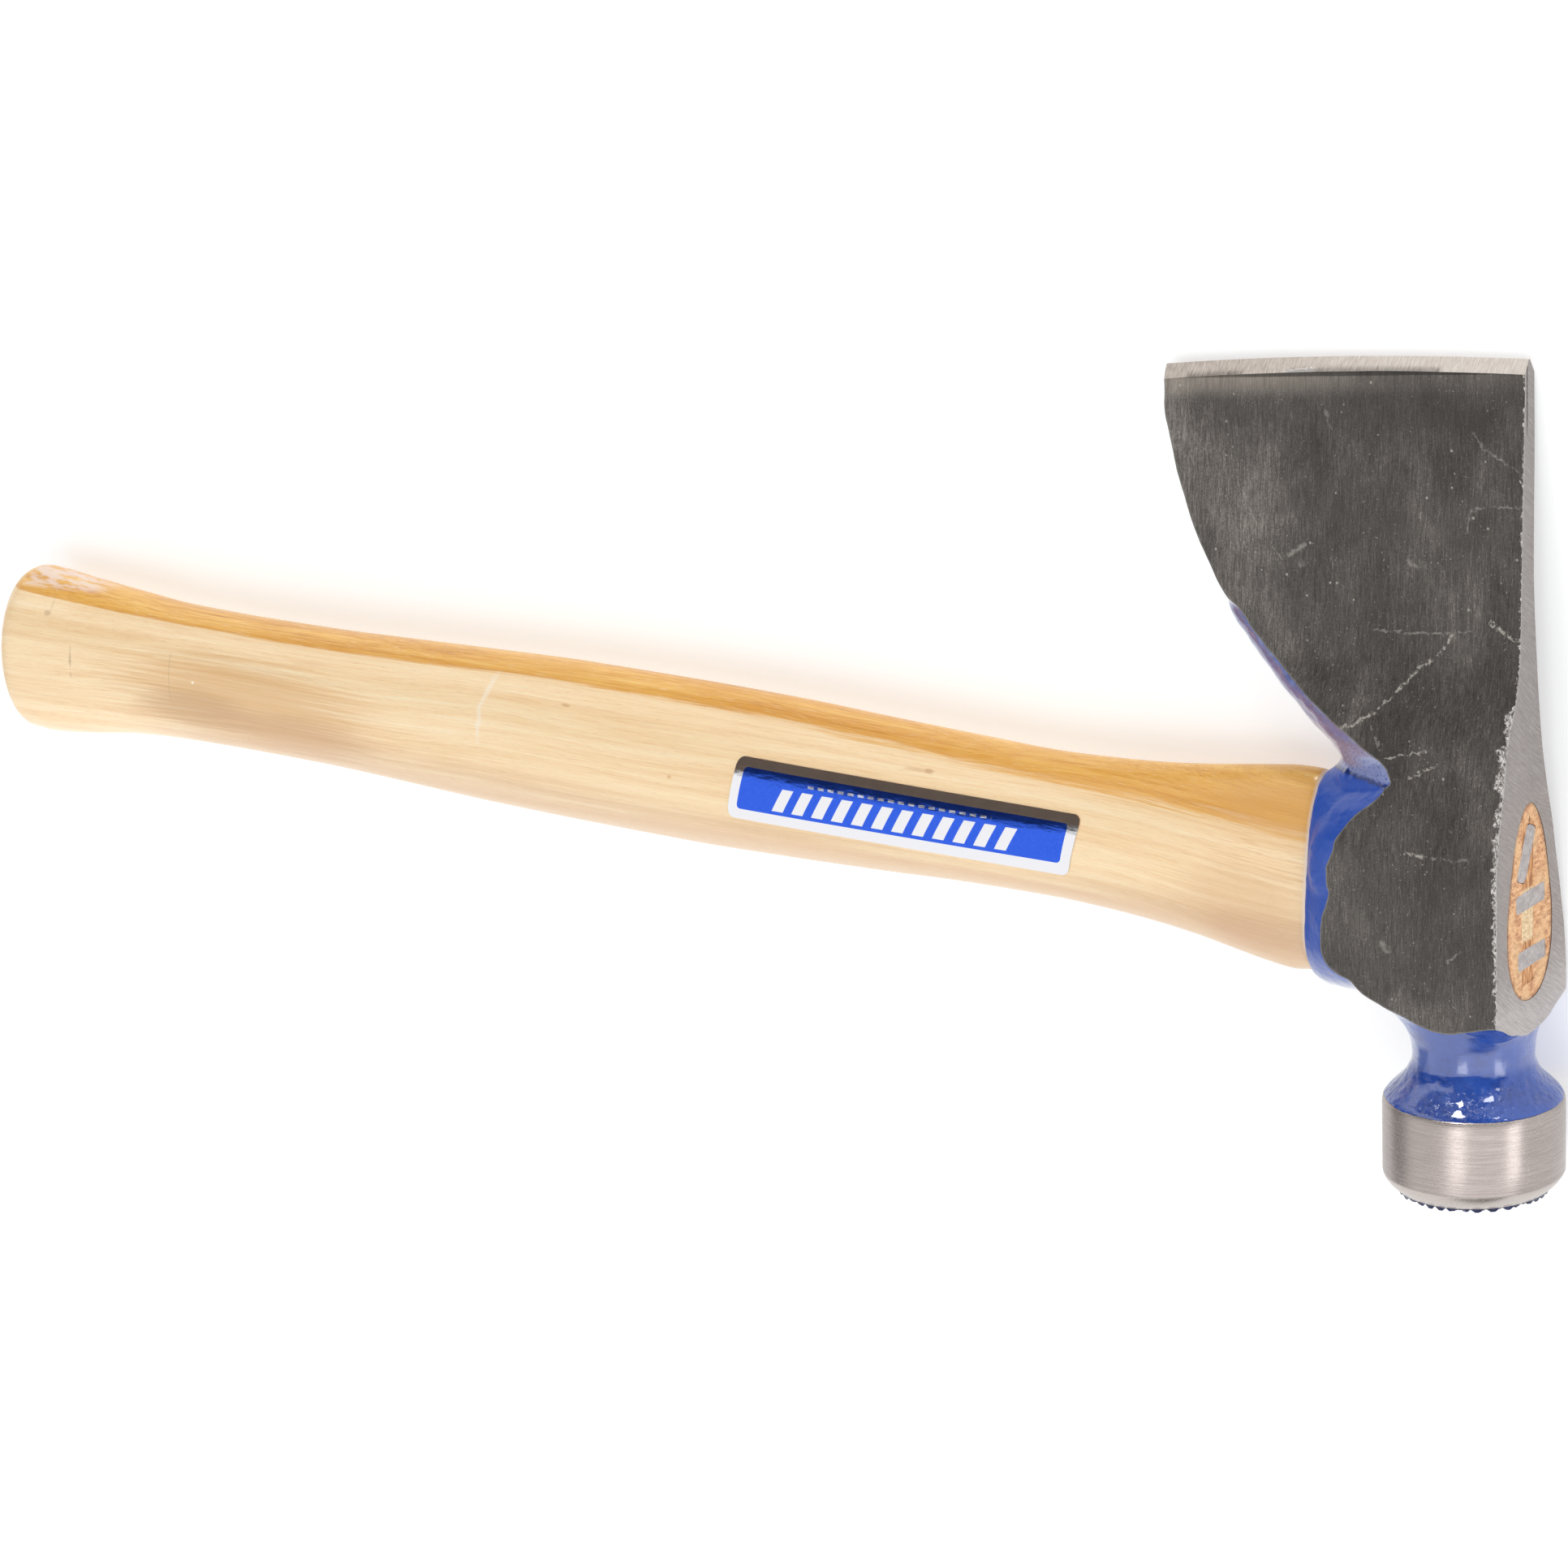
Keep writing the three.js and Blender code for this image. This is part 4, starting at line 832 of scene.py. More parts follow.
def label_film():
    """Mirror-backed film: clear border, blue field, and plain slanted stripes in place of lettering."""
    n = Nodes("label_foil", Metallic=0.92, Roughness=0.1)
    x, y, z = n.xyz()
    p = n.mm()
    u = n.m("SUBTRACT", x, n.m("MULTIPLY", y, 0.2))
    # the film is painted warmer along its top edge: a painted tint for the dark reflection that falls there
    silver = n.mix(n.step(y, 3.0, 4.4), srgb(228, 228, 232), srgb(228, 202, 184))
    blue = n.mix(n.noise(n.scale(p, (1.6, 1.6, 1.6)), 1.0, 2.0), srgb(42, 84, 208), srgb(60, 104, 226))
    top = n.m("MULTIPLY_ADD", x, -0.0094, 3.02)                       # the film is a little narrower at the head end
    # blue field with rounded corners
    ex = n.m("MAXIMUM", n.m("SUBTRACT", n.m("ABSOLUTE", n.m("ADD", u, 153.9)), 42.8), 0.0)
    ey = n.m("MAXIMUM", n.m("SUBTRACT", n.m("ABSOLUTE", n.m("SUBTRACT", y, n.m("MULTIPLY_ADD", top, 0.5, -2.5))), n.m("MULTIPLY_ADD", top, 0.5, 1.45)), 0.0)
    d = n.m("SQRT", n.m("MULTIPLY_ADD", ex, ex, n.m("MULTIPLY", ey, ey)))
    field = n.step(d, 1.12, 0.98)
    col = n.mix(field, silver, blue)
    # plain slanted stripes and a thin broken line over them
    q = n.m("SUBTRACT", x, n.m("MULTIPLY", y, 0.55))
    inside = n.m("MULTIPLY", n.step(q, -187.1, -186.9), n.step(q, -120.9, -121.1))
    rows = n.m("MULTIPLY", n.step(y, -4.2, -4.05), n.step(y, 1.25, 1.1))
    cut = n.m("FRACT", n.m("DIVIDE", q, 5.5))
    bars = n.m("MULTIPLY", n.step(cut, 0.10, 0.14), n.step(cut, 0.70, 0.66))
    col = n.mix(n.m("MULTIPLY", n.m("MULTIPLY", inside, rows), bars), col, silver)
    thin = n.m("MULTIPLY", n.step(y, 2.25, 2.4), n.step(y, 3.0, 2.85))
    dash = n.step(n.m("FRACT", n.m("DIVIDE", x, 2.75)), 0.62, 0.56)
    thin = n.m("MULTIPLY", n.m("MULTIPLY", thin, dash), n.m("MULTIPLY", n.step(x, -179.0, -178.8), n.step(x, -129.0, -129.2)))
    col = n.mix(n.m("MULTIPLY", thin, 0.8), col, silver)
    n.set("Base Color", col)
    j = n.noise(n.scale(p, (0.3, 0.3, 0.3)), 1.0, 2.0)
    n.set("Roughness", n.step(j, 0.3, 0.7, 0.07, 0.12))
    w = n.noise(n.scale(p, (0.16, 0.5, 0.5)), 1.0, 3.0)
    n.set("Normal", n.bump(w, 0.09, 0.6))
    return n.mat


def floor_mat():
    n = Nodes("pale_floor", Roughness=0.85)
    n.shader.inputs["Specular IOR Level"].default_value = 0.15
    f = n.noise(n.scale(n.mm(), (0.01, 0.01, 0.01)), 1.0, 2.0)
    n.set("Base Color", n.mix(f, (0.60, 0.61, 0.617), (0.62, 0.63, 0.637)))
    n.shader.inputs["Emission Color"].default_value = (1.0, 1.0, 1.0, 1.0)
    n.shader.inputs["Emission Strength"].default_value = 0.52
    return n.mat


# ------------------------------------------------------------------ head
M_CHEEK, M_EDGE, M_END, M_POLL = scale_steel(), edge_steel(), end_steel(), poll_steel()
M_PAINT, M_FACE, M_GAP = paint(), paint("milled_face_blue", True), dark_gap()
M_WOOD, M_WEDGE_WOOD, M_WEDGE_STEEL, M_LABEL = wood(), wedge_wood(), wedge_steel(), label_film()

cheek_up, cheek_lo = curve(CHEEK_UPPER), curve(CHEEK_LOWER)
beard_out, beard_in = curve(BEARD_OUTER), curve(BEARD_INNER)


def blade_rings():
    ys = np.r_[np.arange(20.5, 60, 0.7), np.arange(60, 124.1, 1.4)]
    rings = []
    for y in ys:
        up, lo = float(cheek_up(y)), float(cheek_lo(y))
        xo, xi = float(beard_out(y)), float(beard_in(y))
        zs = np.r_[np.linspace(up + 1.6, 0, 18)[:-1], np.linspace(0, -lo - 1.6, 18)]
        ring = [(4.0, y, up + 1.6)]
        for z in zs:
            s = abs(z) / (up if z > 0 else lo)
            ring.append((xi + (xo - xi) * (1 - s**1.8), y, z))
        ring.append((4.0, y, -lo - 1.6))
        rings.append(ring)
    return rings


def shoulder_rings():
    """Where the collar swells out to the cheeks, just under the beard."""
    edge = curve([[-6, -34.5], [-3.5, -38.4], [-1.0, -40.3], [1.2, -41.1], [3.5, -41.4], [5.5, -41.2], [8.4, -40.5], [11.4, -39.4], [15.1, -36.8],
                  [18.5, -33.8], [21.7, -30.0], [23.6, -28.4], [24.9, -27.8]])
    reach = curve([[-6, 7.0], [9, 7.5], [12, 8.9], [15, 11.0], [18.5, 12.8], [21, 12.5], [23, 10.0], [24.9, 7.0]])
    power = curve([[-6, 8], [9, 7.5], [12, 5], [15, 3.2], [20, 2.1], [24.9, 1.9]])
    rings = []
    for y in np.arange(-6, 24.95, 0.65):
        up, lo, xi = float(cheek_up(y)), float(cheek_lo(y)), float(edge(y))
        k, p = float(reach(y)), float(power(y))
        ring = [(4.0, y, up + 1.6)]
        for z in np.r_[np.linspace(up + 1.6, 0, 18)[:-1], np.linspace(0, -lo - 1.6, 18)]:
            s = abs(z) / (up if z > 0 else lo)
            ring.append((xi - k * (1 - s**p), y, z))
        ring.append((4.0, y, -lo - 1.6))
        rings.append(ring)
    return rings


def collar_rings():
    rows = [[-49.0, 0.93, 22.3, -23.9], [-48.5, 0.97, 22.7, -24.4], [-47.7, 1.0, 22.9, -24.7], [-46, 1.09, 23.2, -24.9],
            [-42, 1.285, 23.7, -24.8], [-38, 1.43, 24.2, -24.5], [-34, 1.54, 25.0, -24.4], [-29, 1.63, 26.2, -25.0],
            [-22, 1.68, 30, -26], [-10, 1.7, 34, -26], [4, 1.7, 34, -26]]
    zs, top, bot = curve(rows, 1), curve(rows, 2), curve(rows, 3)
    rings = []
    for x in np.r_[np.linspace(-49, -46, 9), np.arange(-45, 4.1, 1.0)]:
        p = ring2d(COLLAR_RIM, float(zs(x)), float(bot(x)), float(top(x)))
        rings.append([(x, y, z) for y, z in p])
    return rings


def neck_rings():
    rows = [[-46.5, 19.5, 19.5, 19.5, 2], [-45, 19.4, 19.4, 19.4, 2], [-44.2, 19.15, 19.15, 19.15, 2],
            [-43.4, 18.75, 18.75, 18.75, 2], [-42.4, 17.75, 17.75, 17.75, 2], [-41.2, 16.35, 16.35, 16.35, 2],
            [-39.9, 15.1, 15.1, 15.1, 2], [-38.7, 14.2, 14.2, 14.2, 2], [-37.4, 13.6, 13.6, 13.6, 2],
            [-36.2, 13.1, 13.1, 13.1, 2], [-34.5, 13, 13, 12.95, 2], [-32.4, 13.05, 13.0, 12.95, 2.05],
            [-30.6, 13.4, 13.1, 13.1, 2.15], [-29.3, 13.8, 13.3, 13.3, 2.3], [-27.8, 14.3, 13.8, 13.6, 2.45],
            [-26.2, 15.6, 15.4, 13.95, 2.6], [-24.6, 17.8, 17.4, 14.9, 2.65], [-23, 20.4, 22.8, 16.2, 2.8],
            [-21, 23.4, 30, 17.6, 3.2], [-18, 25, 32, 18, 4]]
    f = [curve(rows, k) for k in range(1, 5)]
    rings = []
    for y in np.r_[np.arange(-46.5, -32, 0.5), np.arange(-32, -22, 0.25), np.arange(-22, -18 + 0.01, 0.5)]:
        xl, xr, rz, e = (float(g(y)) for g in f)
        ring = []
        for i in range(96):
            t = 2 * math.pi * (i + 0.5) / 96
            c, s = math.cos(t), math.sin(t)
            k = (abs(c) ** e + abs(s) ** e) ** (-1 / e)
            ring.append((POLL_X + (xl if c < 0 else xr) * c * k, y, rz * s * k))
        rings.append(ring)
    return rings


def forging():
    """The painted forging: blade, collar and neck flowed into each other."""
    v, f = [], []
    for rings in (blade_rings(), shoulder_rings(), collar_rings(), neck_rings()):
        a, b = loft_arrays(rings)
        if volume(a, b) < 0:
            b = [q[::-1] for q in b]
        o = sum(len(k) for k in v)
        v.append(a)
        f += [tuple(i + o for i in q) for q in b]
    o = mesh_object("hammer_head", np.vstack(v), f, [M_PAINT], fix=False)
    r = o.modifiers.new("r", "REMESH")
    r.mode, r.voxel_size = "VOXEL", 0.5 * MM
    s = o.modifiers.new("s", "SMOOTH")
    s.factor, s.iterations = 0.5, 4
    bake_modifiers(o)
    # brushed-on paint is thicker in places, with a few bubbles on the collar
    me = o.data
    co = np.zeros(len(me.vertices) * 3, np.float32)
    me.vertices.foreach_get("co", co)
    co = co.reshape(-1, 3) / MM
    nr = np.zeros(len(me.vertices) * 3, np.float32)
    me.vertex_normals.foreach_get("vector", nr)
    nr = nr.reshape(-1, 3)
    amount = np.array([noise.noise(Vector((c[0] * 0.16, c[1] * 0.2, c[2] * 0.16)))
                       + 0.45 * noise.noise(Vector((c[0] * 0.42 + 9, c[1] * 0.5, c[2] * 0.42))) for c in co])
    push = 0.16 * amount
    for bx, by, bz, r0, h in ((-45.8, 2.6, 12.6, 0.75, 0.32), (-46.0, 0.2, 12.6, 0.6, 0.28), (-46.3, 8.6, 11.3, 0.5, 0.2),
                              (-45.0, -6.5, 13.0, 0.55, 0.22), (-41.5, 24.6, 6.0, 0.9, 0.3), (-36.0, 25.4, 9.0, 0.8, 0.25)):
        d = np.sqrt(((co - np.array([bx, by, bz])) ** 2).sum(1))
        push += h * np.clip(1 - (d / (r0 * 1.6)) ** 2, 0, 1)
    co = co + nr * push[:, None]
    me.vertices.foreach_set("co", (co * MM).astype(np.float32).ravel())
    me.update()
    return o


def poll_body():
    """Striking end: turned cylinder and chamfer with the milled face cut in it."""
    p = [(0, -40.5), (12.5, -40.5), (16.6, -43.0), (18.5, -43.6), (19.2, -44.2), (19.38, -45.0), (POLL_R, -45.9),
         (POLL_R, -50), (POLL_R, -55), (POLL_R, -60.3), (19.3, -60.9), (18.95, -61.6), (18.3, -62.5), (17.3, -63.5),
         (16.5, -64.12), (16.3, -64.3), (16.05, -65.2), (8, -65.42), (0.001, -65.46)]
    n = 192
    v, f, idx = [], [], []
    for r, y in p:
        for i in range(n):
            t = 2 * math.pi * i / n
            x = r * math.cos(t)
            v.append((POLL_X + x, y + (FACE_TILT * x if y < -60.5 else 0), r * math.sin(t)))
    for k in range(len(p) - 1):
        for i in range(n):
            j = (i + 1) % n
            f.append((k * n + i, k * n + j, (k + 1) * n + j, (k + 1) * n + i))
            idx.append(1 if p[k][1] <= -64.25 else 0)
    # caps
    f.append(tuple(range((len(p) - 1) * n, len(p) * n)))
    idx.append(1)
    c = len(v)
    f = [q for q in f[n:]]
    idx = idx[n:]
    f.append(tuple(range(n, 2 * n))[::-1])
    idx.append(0)
    v = v[n:]
    f = [tuple(i - n for i in q) for q in f]
    if volume(np.array(v), f) < 0:
        f = [q[::-1] for q in f]
    o = mesh_object("poll", v, f, [M_POLL, M_FACE], idx, fix=False)
    pitch, depth, half = 2.5, 1.15, 2.5 / 2 - 0.2
    for turn in (0, 1):
        for k in range(-6, 7):
            c = k * pitch
            a = []
            for s in (-30.0, 30.0):
                for dx, y in ((-half - 0.25, -65.71), (half + 0.25, -65.71), (0.0, -65.46 + depth)):
                    q = (c + dx, y, s) if not turn else (s, y, c + dx)
                    a.append((POLL_X + q[0], q[1] + FACE_TILT * q[0], q[2]))
            g = mesh_object("groove", a, [(0, 1, 2), (5, 4, 3), (0, 3, 4, 1), (1, 4, 5, 2), (2, 5, 3, 0)], [M_FACE])
            combine(o, g, "DIFFERENCE")
    return o


def edge_point(t, off):
    b = math.radians(EDGE_TILT)
    s = (t - 1) * EDGE_LENGTH
    k = EDGE_BULGE * 4 * t * (1 - t) + off
    return s * math.cos(b) - math.sin(b) * k, TOE_Y + s * math.sin(b) + math.cos(b) * k


def build_head():
    o = forging()
    # the paint stops on a wavy line round the top of the striking end
    us, vs = np.linspace(-40, 14, 109), np.linspace(-26, 26, 105)

    def paint_line(x, z):
        t = math.atan2(z, x - POLL_X)
        return -43.95 + 0.22 * noise.noise(Vector((3 * math.cos(t), 3 * math.sin(t), 2.0))) \
            + 0.10 * noise.noise(Vector((12 * math.cos(t), 12 * math.sin(t), 7.0)))
    combine(o, sheet_cutter("line", us, vs, lambda x, z: (x, paint_line(x, z), z), lambda x, z: (x, -60.0, z), M_PAINT), "DIFFERENCE")
    combine(o, poll_body(), "UNION")
    # ground cheeks
    us, vs = np.linspace(-96, 6, 103), np.r_[np.linspace(-33, 60, 94), np.linspace(61, 126, 60)]
    wave = lambda x, y, s: 0.05 * noise.noise(Vector((x * 0.05, y * 0.06, s)))
    combine(o, sheet_cutter("cheek", us, vs, lambda x, y: (x, y, float(cheek_up(y)) + wave(x, y, 1)), lambda x, y: (x, y, 40.0), M_CHEEK), "DIFFERENCE")
    combine(o, sheet_cutter("cheek", us, vs, lambda x, y: (x, y, -float(cheek_lo(y)) - wave(x, y, 5)), lambda x, y: (x, y, -40.0), M_CHEEK), "DIFFERENCE")
    # ground end face, with a slightly ragged edge where it meets the upper cheek
    us, vs = np.linspace(-33, 126, 160), np.linspace(-22, 22, 89)

    def end_x(y, z):
        rag = 0.0
        c = float(cheek_up(y))
        if c - 0.8 < z < c + 0.8 and -24 < y < 44:
            rag = -0.22 * max(0.0, noise.noise(Vector((y * 0.9, z * 0.7, 3.0))) + 0.15)
        return rag
    combine(o, sheet_cutter("end", us, vs, lambda y, z: (end_x(y, z), y, z), lambda y, z: (40.0, y, z), M_END), "DIFFERENCE")
    # cutting edge: outline, then the two bevels
    ts = np.linspace(-0.14, 1.12, 64)
    v, f = [], []
    outline = [edge_point(t, 0) for t in ts]
    rings = []
    for (x, y) in outline:
        rings.append([(x, y, -14), (x, y, 14), (x - 0.1 * 30, y + 30, 14), (x - 0.1 * 30, y + 30, -14)])
    a, b = loft_arrays(rings)
    combine(o, mesh_object("outline", a, b, [M_EDGE]), "DIFFERENCE")
    for side, table in ((1, cheek_up), (-1, cheek_lo)):
        rings = []
        for t in ts:
            x, y = edge_point(t, -BEVEL)
            zc = float(table(y))
            slope = (zc - EDGE_THICK / 2) / BEVEL
            ring = []
            for off, z in ((4, EDGE_THICK / 2 - slope * 4), (0, EDGE_THICK / 2), (-BEVEL * 0.5, (zc + EDGE_THICK / 2) / 2),
                           (-BEVEL, zc), (-BEVEL - 1.0, zc + slope), (-BEVEL - 1.0, 12), (4, 12)):
                px, py = edge_point(t, off)
                ring.append((px, py, side * z))
            rings.append(ring)
        a, b = loft_arrays(rings)
        combine(o, mesh_object("bevel", a, b, [M_EDGE]), "DIFFERENCE")
    # eye
    rings = [[(x, y, z) for y, z in ring2d(tab, inset=ins)] for tab, x, ins in
             ((TENON_FOOT, -53, -0.12), (TENON_FOOT, -49, -0.12), (EYE_MOUTH, 0, -0.03), (EYE_MOUTH, 4, -0.03))]
    a, b = loft_arrays(rings)
    combine(o, mesh_object("eye", a, b, [M_GAP]), "DIFFERENCE")
    finish_mesh(o, 34)
    # how far each point is from the paint, and from the ground cheek: worn lines follow these
    me = o.data
    names = [m.name for m in me.materials]
    mi = np.zeros(len(me.polygons), np.int32)
    me.polygons.foreach_get("material_index", mi)
    co = np.zeros(len(me.vertices) * 3, np.float32)
    me.vertices.foreach_get("co", co)
    co = co.reshape(-1, 3) / MM
    kinds = [set() for _ in range(len(me.vertices))]
    for poly, k in zip(me.polygons, mi):
        for q in poly.vertices:
            kinds[q].add(names[k])
    for attr, a, b in (("d_paint", M_PAINT.name, M_CHEEK.name), ("d_cheek", M_CHEEK.name, M_END.name)):
        on = [i for i, k in enumerate(kinds) if a in k and b in k]
        tree = KDTree(max(1, len(on)))
        for i in on:
            tree.insert(Vector(co[i]), i)
        tree.balance()
        d = np.full(len(co), 50.0, np.float32)
        want = [i for i, k in enumerate(kinds) if (M_CHEEK.name in k or M_END.name in k)]
        for i in want:
            d[i] = tree.find(Vector(co[i]))[2]
        me.attributes.new(attr, "FLOAT", "POINT").data.foreach_set("value", d)
    return add_piece(o, "head_steel", "head")


# ------------------------------------------------------------------ handle
def grip_ring(x, top, bottom, half):
    w, m = float(smoothstep(x, -115, -56)), float(smoothstep(x, -340, -190))
    a, c = TENON_FOOT[0][0], TENON_FOOT[-1][0]
    up = []
    for (se, ke), (so, ko), (fy, fz) in zip(GRIP_EGG, BUTT_OVAL, TENON_FOOT):
        s, k = so + (se - so) * m, ko + (ke - ko) * m
        sy, sz = s + ((fy - a) / (c - a) - s) * w, k + (fz / 9.7 - k) * w
        up.append((bottom + (top - bottom) * sy, half * sz))
    p = np.array(up + [(y, -z) for y, z in up[1:-1][::-1]])
    return rounded(p, 3)


h_top, h_bot, h_half = curve(HANDLE, 1), curve(HANDLE, 2), curve(HANDLE, 3)


def wedge_outline(width, thick, grow=0.0, corner=0.7, seed=0.0, rough=0.0):
    w, t, r = width / 2 + grow, thick / 2 + grow, corner
    pts = []
    for cx, cy, a0 in ((w - r, t - r, 0), (-w + r, t - r, 90), (-w + r, -t + r, 180), (w - r, -t + r, 270)):
        for k in range(6):
            a = math.radians(a0 + 18 * k)
            px, py = cx + r * math.cos(a), cy + r * math.sin(a)
            j = rough * noise.noise(Vector((px * 0.9, py * 0.9, seed)))
            pts.append((px * (1 + j / w), py * (1 + j / t)))
    return pts


def wedge_rings(width, thick, y, z, turn, top, depth, grow=0.0, corner=0.7, seed=0.0, rough=0.0, round_top=0.0):
    a = math.radians(turn)
    rings = []
    for x, s, shrink in ((-depth, 0.35, 0.0), (top - round_top, 1.0, 0.0), (top - round_top * 0.3, 1.0, round_top * 0.35), (top, 1.0, round_top)):
        ring = []
        for px, py in wedge_outline(width, thick, grow - shrink, corner, seed, rough):
            py *= s
            # long side along Z before the turn, thickness along Y
            ring.append((x, y + py * math.cos(a) - px * math.sin(a), z + py * math.sin(a) + px * math.cos(a)))
        rings.append(ring)
    if round_top == 0:
        rings = [rings[0], rings[-1]]
    return rings


def build_handle():
    rings = []
    r0 = 4.2
    t0, b0, hh = HANDLE[0][1:]
    for dx, s in ((0, 0.70), (0.02, 0.80), (0.25, 0.858), (0.7, 0.905), (1.4, 0.942), (2.2, 0.97), (3.1, 0.988), (r0, 1)):
        x = -430.95 + dx
        drop = 0.9 * (1 - dx / r0)
        rings.append([(x, y, z) for y, z in grip_ring(x, t0 * (0.45 + 0.55 * s) - drop, b0 * (0.45 + 0.55 * s) - drop, hh * (0.35 + 0.65 * s) * 0.998)])
    for x in np.r_[np.arange(-425, -110, 3.0), np.arange(-110, -50.4, 1.5)]:
        rings.append([(x, y, z) for y, z in grip_ring(x, float(h_top(x)), float(h_bot(x)), float(h_half(x)) * 0.998)])
    x = -50.0
    rings.append([(x, y, z) for y, z in grip_ring(x, 22.35, -22.75, 9.75)])
    rings.append([(-49.2, y, z) for y, z in ring2d(TENON_FOOT, inset=0.25)])
    rings.append([(-48.6, y, z) for y, z in ring2d(TENON_FOOT, inset=0.02)])
    for k in range(1, 9):
        f = k / 9
        a, b = ring2d(TENON_FOOT, inset=0.02), ring2d(EYE_MOUTH, inset=0.0)
        rings.append([(-48.6 + 48.0 * f, y, z) for y, z in a * (1 - f) + b * f])
    rings.append([(-0.12, y, z) for y, z in ring2d(EYE_MOUTH, inset=0.0)])
    for inset in (0.1, 0.5, 0.9, 1.4, 2.0, 2.8, 3.8):
        rings.append([(-0.05, y, z) for y, z in ring2d(EYE_MOUTH, inset=inset)])
    v, f = loft_arrays(rings)
    o = mesh_object("hammer_handle", v, f, [M_WOOD])
    for name, (w, t, y, z, turn, node) in WEDGES.items():
        a, b = loft_arrays(wedge_rings(w, t, y, z, turn, 3.0, 13.0, 0.10, seed=len(name)))
        combine(o, mesh_object("pocket", a, b, [M_WOOD]), "DIFFERENCE")
    a, b = loft_arrays(wedge_rings(*WOOD_WEDGE, 3.0, 14.0, 0.05, corner=0.5))
    combine(o, mesh_object("pocket", a, b, [M_WOOD]), "DIFFERENCE")
    finish_mesh(o, 40)
    me = o.data
    co = np.zeros(len(me.vertices) * 3, np.float32)
    me.vertices.foreach_get("co", co)
    co = co.reshape(-1, 3) / MM
    tree = KDTree(len(ring2d(EYE_MOUTH)))
    for i, (y, z) in enumerate(ring2d(EYE_MOUTH)):
        tree.insert(Vector((0, y, z)), i)
    tree.balance()
    d = np.array([tree.find(Vector((0, c[1], c[2])))[2] if c[0] > -2 else 20.0 for c in co], np.float32)
    me.attributes.new("d_rim", "FLOAT", "POINT").data.foreach_set("value", d)
    return add_piece(o, "handle_wood", "handle")


def build_wedges():
    out = []
    for k, (name, (w, t, y, z, turn, node)) in enumerate(WEDGES.items()):
        a, b = loft_arrays(wedge_rings(w, t, y, z, turn, -0.02, 12.9, 0.0, seed=k * 3.1, rough=0.2, round_top=0.12,
                                       corner=1.4 if k == 0 else 0.45))
        o = mesh_object(name, a, b, [M_WEDGE_STEEL])
        finish_mesh(o, 40)
        out.append(add_piece(o, "wedge_steel", node))
    a, b = loft_arrays(wedge_rings(*WOOD_WEDGE, -0.10, 13.9, 0.0, corner=0.5))
    o = mesh_object("wedge_pale", a, b, [M_WEDGE_WOOD])
    for name, (w, t, y, z, turn, node) in WEDGES.items():
        a, b = loft_arrays(wedge_rings(w, t, y, z, turn, 3.0, 13.0, 0.10, seed=len(name)))
        combine(o, mesh_object("pocket", a, b, [M_WEDGE_WOOD]), "DIFFERENCE")
    finish_mesh(o, 40)
    out.append(add_piece(o, "wedge_wood", "wood_wedge"))
    return out


def build_label():
    r = 2.0

    def side_z(x, y):
        p = grip_ring(x, float(h_top(x)), float(h_bot(x)), float(h_half(x)) * 0.998)
        q = p[:len(p) // 2 + 1]
        return float(np.interp(y, q[:, 0], q[:, 1]))
    length = 92.8
    us = np.r_[np.linspace(0, r, 9)[:-1], np.linspace(r, length - r, 66), length - np.linspace(r, 0, 9)[1:]]
    rings = []
    for u in us:
        d = min(u, length - u)
        cut = r - math.sqrt(max(0.0, r * r - (r - d) ** 2)) if d < r else 0.0
        lo, hi = -7.5 - 0.35 * u / length + cut, 7.05 - 0.85 * u / length - cut
        front, back = [], []
        for y in np.linspace(lo, hi, 25):
            x = -200.2 + u + (0.19 + 0.04 * u / length) * y
            z = side_z(x, y)
            back.append((x, y, z + 0.05))
            front.append((x, y, z + 0.26))
        rings.append(back + front[::-1])
    v, f = loft_arrays(rings)
    o = mesh_object("label_film", v, f, [M_LABEL])
    finish_mesh(o, 40)
    return add_piece(o, "handle_label", "handle_label")


head = build_head()
handle = build_handle()
wedges = build_wedges()
label = build_label()

# ------------------------------------------------------------------ floor
bpy.ops.mesh.primitive_plane_add(size=24.0, location=(0, 0, -0.0004))
floor = bpy.context.object
floor.name = "floor"
floor.data.materials.append(floor_mat())

# ------------------------------------------------------------------ camera
az, el, roll = 0.6544984694978736, 0.2834919678083673, -0.03762596292595066
b = np.array([math.sin(az) * math.cos(el), math.sin(el), math.cos(az) * math.cos(el)])
r = np.array([math.cos(az), 0, -math.sin(az)])
u = np.cross(b, r)
r, u = math.cos(roll) * r + math.sin(roll) * u, -math.sin(roll) * r + math.cos(roll) * u
own = Matrix(((r[0], u[0], b[0], 0.585766), (r[1], u[1], b[1], 0.371533), (r[2], u[2], b[2], 1.017460), (0, 0, 0, 1)))
data = bpy.data.cameras.new("camera")
data.sensor_fit, data.sensor_width, data.lens = "HORIZONTAL", 36.0, 36.0 * 7204.884833931613 / 1932.0
data.clip_start, data.clip_end = 0.05, 50.0
camera = bpy.data.objects.new("camera", data)
bpy.context.scene.collection.objects.link(camera)
camera.matrix_world = PLACE @ own
bpy.context.scene.camera = camera

# ------------------------------------------------------------------ light
HEAD = PLACE @ Vector((-0.0136, -0.045, 0.0))
TURN = PLACE.to_3x3()


